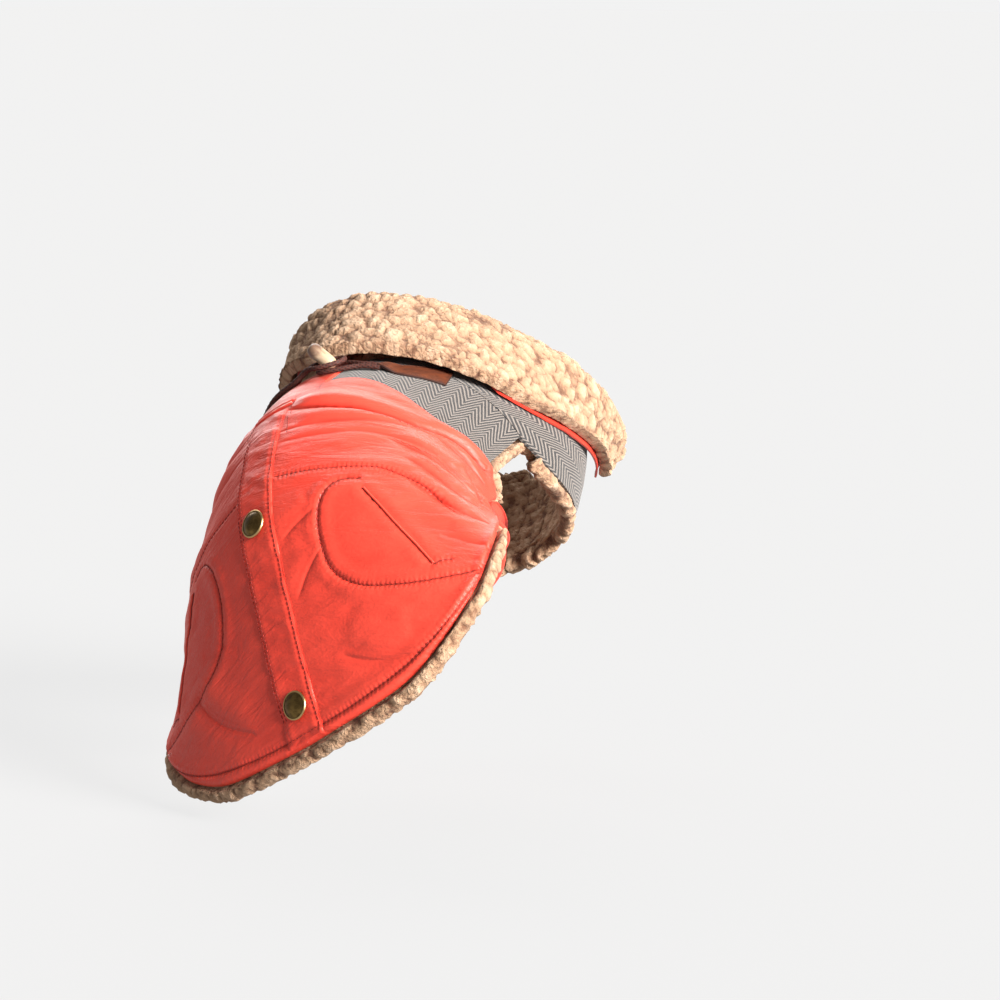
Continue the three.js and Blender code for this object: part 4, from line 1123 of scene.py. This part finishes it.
toggle = {"at": 66.5, "turn": 19.5, "footLift": 1.9, "lean": 36, "radius": 4.0}
tilt = math.radians(toggle["lean"])
toggleUp = unit(formNormal(toggle["at"], toggle["turn"]) * math.cos(tilt) + np.array([math.sin(tilt), 0, 0]))
toggleFoot = onForm(toggle["at"], toggle["turn"], toggle["footLift"])
# the shade column darkens the toggle towards the end away from its foot: painted shade
toggleProfile = [(0, 0, 1), (1.3, 0.05, 1), (2.5, 0.35, 1), (3.2, 0.95, 1), (3.6, 1.8, 0.95),
                 (3.85, 3.0, 0.9), (4.0, 4.5, 0.8),
                 (3.95, 6.5, 0.7), (3.9, 8.5, 0.6), (3.95, 10.5, 0.45), (4.0, 12.2, 0.3), (3.9, 13.6, 0.2),
                 (3.6, 15.0, 0.15),
                 (3.1, 16.0, 0.15), (2.3, 16.7, 0.2), (1.2, 16.95, 0.3), (0, 17, 0.3)]
toggleHorn = hornMaterial("toggleHorn", srgb(186, 162, 134), srgb(112, 86, 70))
made = turned(toggleProfile, 28, toggleFoot, toggleUp)
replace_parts(newPiece("horn_toggle", made, toggleHorn, 40), "toggle")

cord = {"radius": 1.3, "tabReach": 17.6, "slant": 4.2, "gap": 1.2, "low": 2.0, "high": 5.0, "sides": 20,
        "step": 0.34}
toggleAcross = float(halfAt(toggle["at"]) * math.sin(math.radians(toggle["turn"])))
rightLead = [(toggleAcross + 22, 1.4, 1.7), (toggleAcross + 17.6, 1.5, 2), (toggleAcross + 13, 1.9, 2),
             (toggleAcross + 8, 4, 2)]
leftLead = [(-toggleAcross - 22, 1.4, 1.7), (-toggleAcross - 17.6, 1.5, 2), (-18, 1.5, 2),
            (toggleAcross - 22, 1.5, 2), (toggleAcross - 16.5, 1.8, 3.5),
            (toggleAcross - 11.5, 3, 5)]


def cordPath(side, lift, lead):
    # rows of across, half the distance between strands, and lift: from the tab round the toggle and back
    centre = toggleAcross - (lift - toggle["footLift"]) * math.tan(tilt)
    halfAcross = toggle["radius"] / math.cos(tilt) + cord["radius"] + cord["gap"]
    halfAlong = toggle["radius"] + cord["radius"] + cord["gap"]
    angles = np.radians([66, 96, 126, 154])
    bend = [(centre + side * halfAcross * math.cos(a), halfAlong * math.sin(a), lift) for a in angles]
    strand = lead + bend
    rows = [(a, -b, c) for a, b, c in strand] + [(centre - side * halfAcross, 0, lift)] + strand[::-1]
    rows = np.array(rows, float)
    outward = np.maximum(np.abs(rows[:, 0]) - toggleAcross, 0) / cord["tabReach"]
    at = toggle["at"] + cord["slant"] * outward + rows[:, 1]
    points = onForm(at, acrossToTurn(at, rows[:, 0]), rows[:, 2])
    return throughRows(points, np.linspace(0, len(points) - 1, 40 * len(points)))


def braid(name, path, material):
    # a braided cord: a grid rolled into a tube along its path, its seam merged and its ends closed
    arc = distanceAlong(path)
    rings = int(arc[-1] / cord["step"])
    marks = np.linspace(0, arc[-1], rings + 1)
    centre = np.stack([np.interp(marks, arc, path[:, k]) for k in range(3)], 1)
    way = unit(np.gradient(centre, axis=0))
    up = np.zeros_like(way)
    up[0] = unit(np.cross(way[0], np.array([1.0, 0.3, 0.1])))
    for k in range(1, len(way)):
        up[k] = unit(up[k - 1] - way[k] * (up[k - 1] @ way[k]))
    aside = np.cross(way, up)
    bm = bmesh.new()
    bmesh.ops.create_grid(bm, x_segments=cord["sides"], y_segments=rings, size=1)
    share = (np.array([v.co[:2] for v in bm.verts]) + 1) / 2
    i, j = (np.rint(share[:, k] * steps).astype(int) for k, steps in ((0, cord["sides"]), (1, rings)))
    angle = 2 * math.pi * (i % cord["sides"]) / cord["sides"]
    along = marks[j] * 2 * math.pi / 3.1
    strands = np.maximum(np.cos(4 * angle + along), np.cos(4 * angle - along))
    rise = cord["radius"] * (0.9 + 0.17 * strands)
    points = centre[j] + (up[j] * np.cos(angle)[:, None] + aside[j] * np.sin(angle)[:, None]) * rise[:, None]
    # painted shade: the strands' crowns are lighter and the grooves between them darker
    tint = bm.verts.layers.float.new("shade")
    for v, p, s in zip(bm.verts, toPart(points).tolist(), strands.tolist()):
        v.co = p
        v[tint] = 0.5 + 0.5 * s
    bmesh.ops.remove_doubles(bm, verts=bm.verts[:], dist=1e-6)
    bmesh.ops.holes_fill(bm, edges=[e for e in bm.edges if e.is_boundary], sides=0)
    bmesh.ops.recalc_face_normals(bm, faces=bm.faces[:])
    return newPiece(name, bm, material, 70)


def cordMaterial(name, high, low):
    m = Finish(name)
    fray = m.noise(m.place(), 1500.0, 3.0, 0.7)
    # painted shade in the braid's grooves: high tone on the strands' crowns, low between them, with fray noise
    tone = m.total(m.read(), m.times(fray, 0.5))
    body = m.colour(m.ramp(tone, 0.25, 1.2, 0.0, 1.0), low, high)
    return m.done((0.5, 0.0002, fray), Base_Color=body, Roughness=0.75)


brownCord = cordMaterial("brownCord", srgb(76, 34, 24), srgb(28, 13, 11))
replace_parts(braid("braided_cord_right", cordPath(1, cord["low"], rightLead), brownCord), "toggle_cord_right")
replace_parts(braid("braided_cord_left", cordPath(-1, cord["high"], leftLead), brownCord), "toggle_cord_left")

# Leather tabs: turn, fore at, aft at
tabTable = np.array([
    (36.8, 69.6, 70.8), (39.5, 66.5, 73), (43, 64, 74.6), (48, 62, 75.6), (55, 61, 75.6), (62, 61, 76)],
    float)
tab = {"cols": 80, "rows": 28, "wall": 1.5, "long": 34, "stitchIn": 1.7}


def leatherMaterial(name, lit, deep, edge):
    m = Finish(name)
    uv = m.clothMap()
    pebble = m.node("TexVoronoi", {"feature": "SMOOTH_F1"}, Vector=uv, Scale=1.4).outputs["Distance"]
    cloudy = m.noise(uv, 0.25, 4.0, 0.6)
    body = m.colour(m.ramp(cloudy, 0.3, 0.7, 0.0, 1.0), deep, lit)
    body = m.colour(m.ramp(m.read(), 0.0, 0.6, 0.0, 1.0), edge, body)
    return m.done((0.3, 0.0002, pebble), Base_Color=body, Roughness=m.ramp(cloudy, 0.3, 0.7, 0.62, 0.48))


tabLeather = leatherMaterial("brownLeather", srgb(104, 52, 29), srgb(76, 36, 20), srgb(44, 20, 12))


def tabShape(side, tree):
    def shape(i, j, inner):
        row = throughRows(tabTable, i / tab["cols"] * 5)
        t = j / tab["rows"]
        at, turn = mix(row[:, 1], row[:, 2], t), row[:, 0]
        s = i / tab["cols"]
        edge = np.minimum(np.minimum(t, 1 - t) * (row[:, 2] - row[:, 1]), np.minimum(s, 1 - s) * tab["long"])
        rise = 0.2 * np.clip(edge / 3.0, 0, 1) - 0.45 * np.clip(1 - edge / 0.8, 0, 1) ** 2
        rise = rise - 0.2 * np.exp(-((edge - tab["stitchIn"]) / 0.5) ** 2)
        base = liftOn(tree, at, turn * side, 0.2)
        base = 0.3 * base + 0.7 * np.median(base)
        bulge = 2.3 * soft(45, 38.5, turn)  # the tip rises over the ends of the cords
        lift = base + np.where(inner > 0, 0.12 + 0.8 * bulge, tab["wall"] - 0.3 + rise + bulge)
        return laid(at, turn * side, lift), formFlat(at, turn), np.clip(edge / 1.5, 0, 1)
    return shape


tabEdge = [(70.2, 38.6), (67.9, 40.2), (65.6, 43.5), (63.7, 48), (62.7, 54), (62.7, 61)]
tabEdgeLow = [(70.4, 38.6), (71.6, 40.2), (73, 43.5), (73.9, 48), (73.9, 54), (74.3, 61)]
for side, word in flanks:
    tree = treeOf(bpy.data.objects[f"tweed_back_{word}"])
    piece = newWall(f"tab_{word}", tab, tabShape(side, tree), tabLeather, 50)
    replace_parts(piece, f"leather_tab_{word}")
    lines = [[(at, turn * side) for at, turn in line] for line in (tabEdge, tabEdgeLow)]
    sew(f"stitches_tab_{word}", treeOf(piece), lines, tanThread, 2.2, 0.42, 0.02)

# Leash slot: two lips and the tape that shows between them
slot = {"at": 95.0, "half": 14.0, "lip": 2.6, "gap": 0.9, "wall": 1.1, "cols": 60, "rows": 12,
        "tapeHalf": 12.5, "tapeCols": 40, "tapeRows": 6}


def lipShape(fore):
    def shape(i, j, inner):
        across = mix(-slot["half"], slot["half"], i / slot["cols"])
        t = j / slot["rows"]
        bow = 0.35 * (1 - (across / slot["half"]) ** 2)
        start = slot["gap"] * 0.35 + bow
        at = slot["at"] + np.where(fore, -1.0, 1.0) * (start + t * (slot["lip"] - bow * 0.4))
        turn = acrossToTurn(at, across)
        end = np.minimum(i, slot["cols"] - i) * 0.47
        crown = rounded(np.abs(2 * t - 1), 0.02) * np.sqrt(np.clip(end / 1.5, 0.05, 1))
        base = liftOn(capeTree, at, turn)
        base = 0.5 * base + 0.5 * np.median(base)
        lift = base + np.where(inner > 0, 0.08, 0.15 + slot["wall"] * 0.85 * crown)
        # painted shade: the lip darkens towards its rounded sides and ends
        return laid(at, turn, lift), formFlat(at, turn), np.clip(0.15 + 0.5 * crown, 0, 1)
    return shape


for fore, word in ((True, "fore"), (False, "aft")):
    piece = newWall(f"slot_lip_{word}", slot, lipShape(fore), nylonCloth)
    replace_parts(piece, "leash_slot")


def slotTapeShape(i, j, inner):
    across = mix(-slot["tapeHalf"], slot["tapeHalf"], i / slot["tapeCols"])
    t = mix(-1, 1, j / slot["tapeRows"])
    at = slot["at"] + t * slot["gap"]
    turn = acrossToTurn(at, across)
    base = np.median(liftOn(capeTree, at, turn))
    lift = base + np.where(inner > 0, 0.05, 0.35 + 0.25 * np.cos(1.2 * t))
    return laid(at, turn, lift), formFlat(at, turn), np.full(len(i), 0.5)


tapeCloth = threadMaterial("beigeTape", srgb(214, 178, 150))
made = wall(slot["tapeCols"], slot["tapeRows"], slotTapeShape)
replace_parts(newPiece("slot_tape", made, tapeCloth), "leash_slot")
slotCorner = [(97.5, 9.6), (102, 10.6), (107.5, 11.5)]
slotStitches = [slotCorner, [(91, 7.6), (95, 10.4), (98.5, 10.6)], otherSide(slotCorner),
                [(108, 10.5), (114, 11.4), (121, 12)]]
sew("stitches_slot", capeTree, slotStitches, redThread, 1.8, 0.45)

# Pocket mouths: a slit, painted near black as painted shade, and the rolled lip that closes it
weltTable = np.array([(180, 42), (195, 45.6), (209, 47.6), (224, 49), (238, 49.6)], float)
welt = {"half": 0.8, "cols": 90, "rows": 12, "wall": 1.1, "slit": 0.36, "lipMid": 0.68, "lipHalf": 0.32,
        "sink": 0.25}


def weltShape(side):
    def shape(i, j, inner):
        row = throughRows(weltTable, i / welt["cols"] * 4)
        at, t = row[:, 0], j / welt["rows"]
        turn = row[:, 1] + mix(-welt["half"], welt["half"], t)
        end = np.sqrt(np.clip(np.minimum(i, welt["cols"] - i) * 0.65 / 1.2, 0.03, 1))
        lip = np.where(t > welt["slit"], rounded(np.abs(t - welt["lipMid"]) / welt["lipHalf"], 0), 0.0)
        back = liftOn(capeTree, at, row[:, 1] * side)
        lift = back + np.where(inner > 0, -welt["sink"], 0.05 + welt["wall"] * 0.9 * lip * end)
        # painted shade: the slit strip is set to shade -1, near black, and the lip darkens towards its sides
        shade = np.where(t < welt["slit"], -1.0, np.clip(-0.6 + 2.0 * lip, -0.6, 0.9))
        return laid(at, turn * side, lift), formFlat(at, turn), shade
    return shape


for side, word in flanks:
    piece = newWall(f"pocket_mouth_{word}", welt, weltShape(side), nylonCloth)
    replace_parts(piece, f"pocket_welt_{word}")
print("trim and hardware made")

# Floor and light
studio = {"floorZ": -0.205, "background": 0.887, "around": 0.26, "bounce": 0.40, "floorShade": 0.06,
          "sun": 11.0, "sunAngle": 0.45,
          "sunFrom": (-0.92, 0.08, 0.37), "far": 3.2, "farAngle": 0.9, "farFrom": (0.60, -0.62, 0.50),
          "farOnFloor": 0.5}


def makeStage():
    bm = bmesh.new()
    bmesh.ops.create_grid(bm, x_segments=2, y_segments=2, size=40)
    bmesh.ops.translate(bm, verts=bm.verts, vec=(0, 0, studio["floorZ"]))
    mesh = bpy.data.meshes.new("studioFloor")
    bm.to_mesh(mesh)
    bm.free()
    floor = bpy.data.objects.new("studioFloor", mesh)
    bpy.context.scene.collection.objects.link(floor)
    m = Finish("palePaper")
    a = studio["floorShade"]
    way = np.array(studio["sunFrom"])
    sunlit = studio["sun"] * way[2] / np.linalg.norm(way) / math.pi
    lit = a * (studio["around"] + sunlit + studio["farOnFloor"])
    seen = m.node("LightPath").outputs["Is Camera Ray"]
    glow = m.calc("MULTIPLY_ADD", seen, studio["background"] - lit - studio["bounce"], studio["bounce"])
    paper = m.done(Base_Color=(a, a, a, 1), Roughness=1.0, Specular_IOR_Level=0.0,
                   Emission_Color=(1, 1, 1, 1),
                   Emission_Strength=glow)
    mesh.materials.append(paper)


makeStage()
world = bpy.data.worlds.new("studio")
world.use_nodes = True
sky = world.node_tree.nodes
seen = sky.new("ShaderNodeLightPath")
level = sky.new("ShaderNodeMapRange")
level.inputs["To Min"].default_value = studio["around"]
level.inputs["To Max"].default_value = studio["background"]
world.node_tree.links.new(seen.outputs["Is Camera Ray"], level.inputs["Value"])
world.node_tree.links.new(level.outputs[0], sky["Background"].inputs[1])
sky["Background"].inputs[0].default_value = (1, 1, 1, 1)
bpy.context.scene.world = world
bpy.context.scene.view_settings.view_transform = "Standard"
for name, energy, angle, way in (("keyLight", studio["sun"], studio["sunAngle"], studio["sunFrom"]),
                                 ("farLight", studio["far"], studio["farAngle"], studio["farFrom"])):
    data = bpy.data.lights.new(name, "SUN")
    data.energy, data.angle, data.color = energy, angle, (1.0, 0.97, 0.94)
    light = bpy.data.objects.new(name, data)
    bpy.context.scene.collection.objects.link(light)
    light.location = way
    light.rotation_mode = "QUATERNION"
    light.rotation_quaternion = Vector(way).to_track_quat("Z", "Y")
print("studio ready")
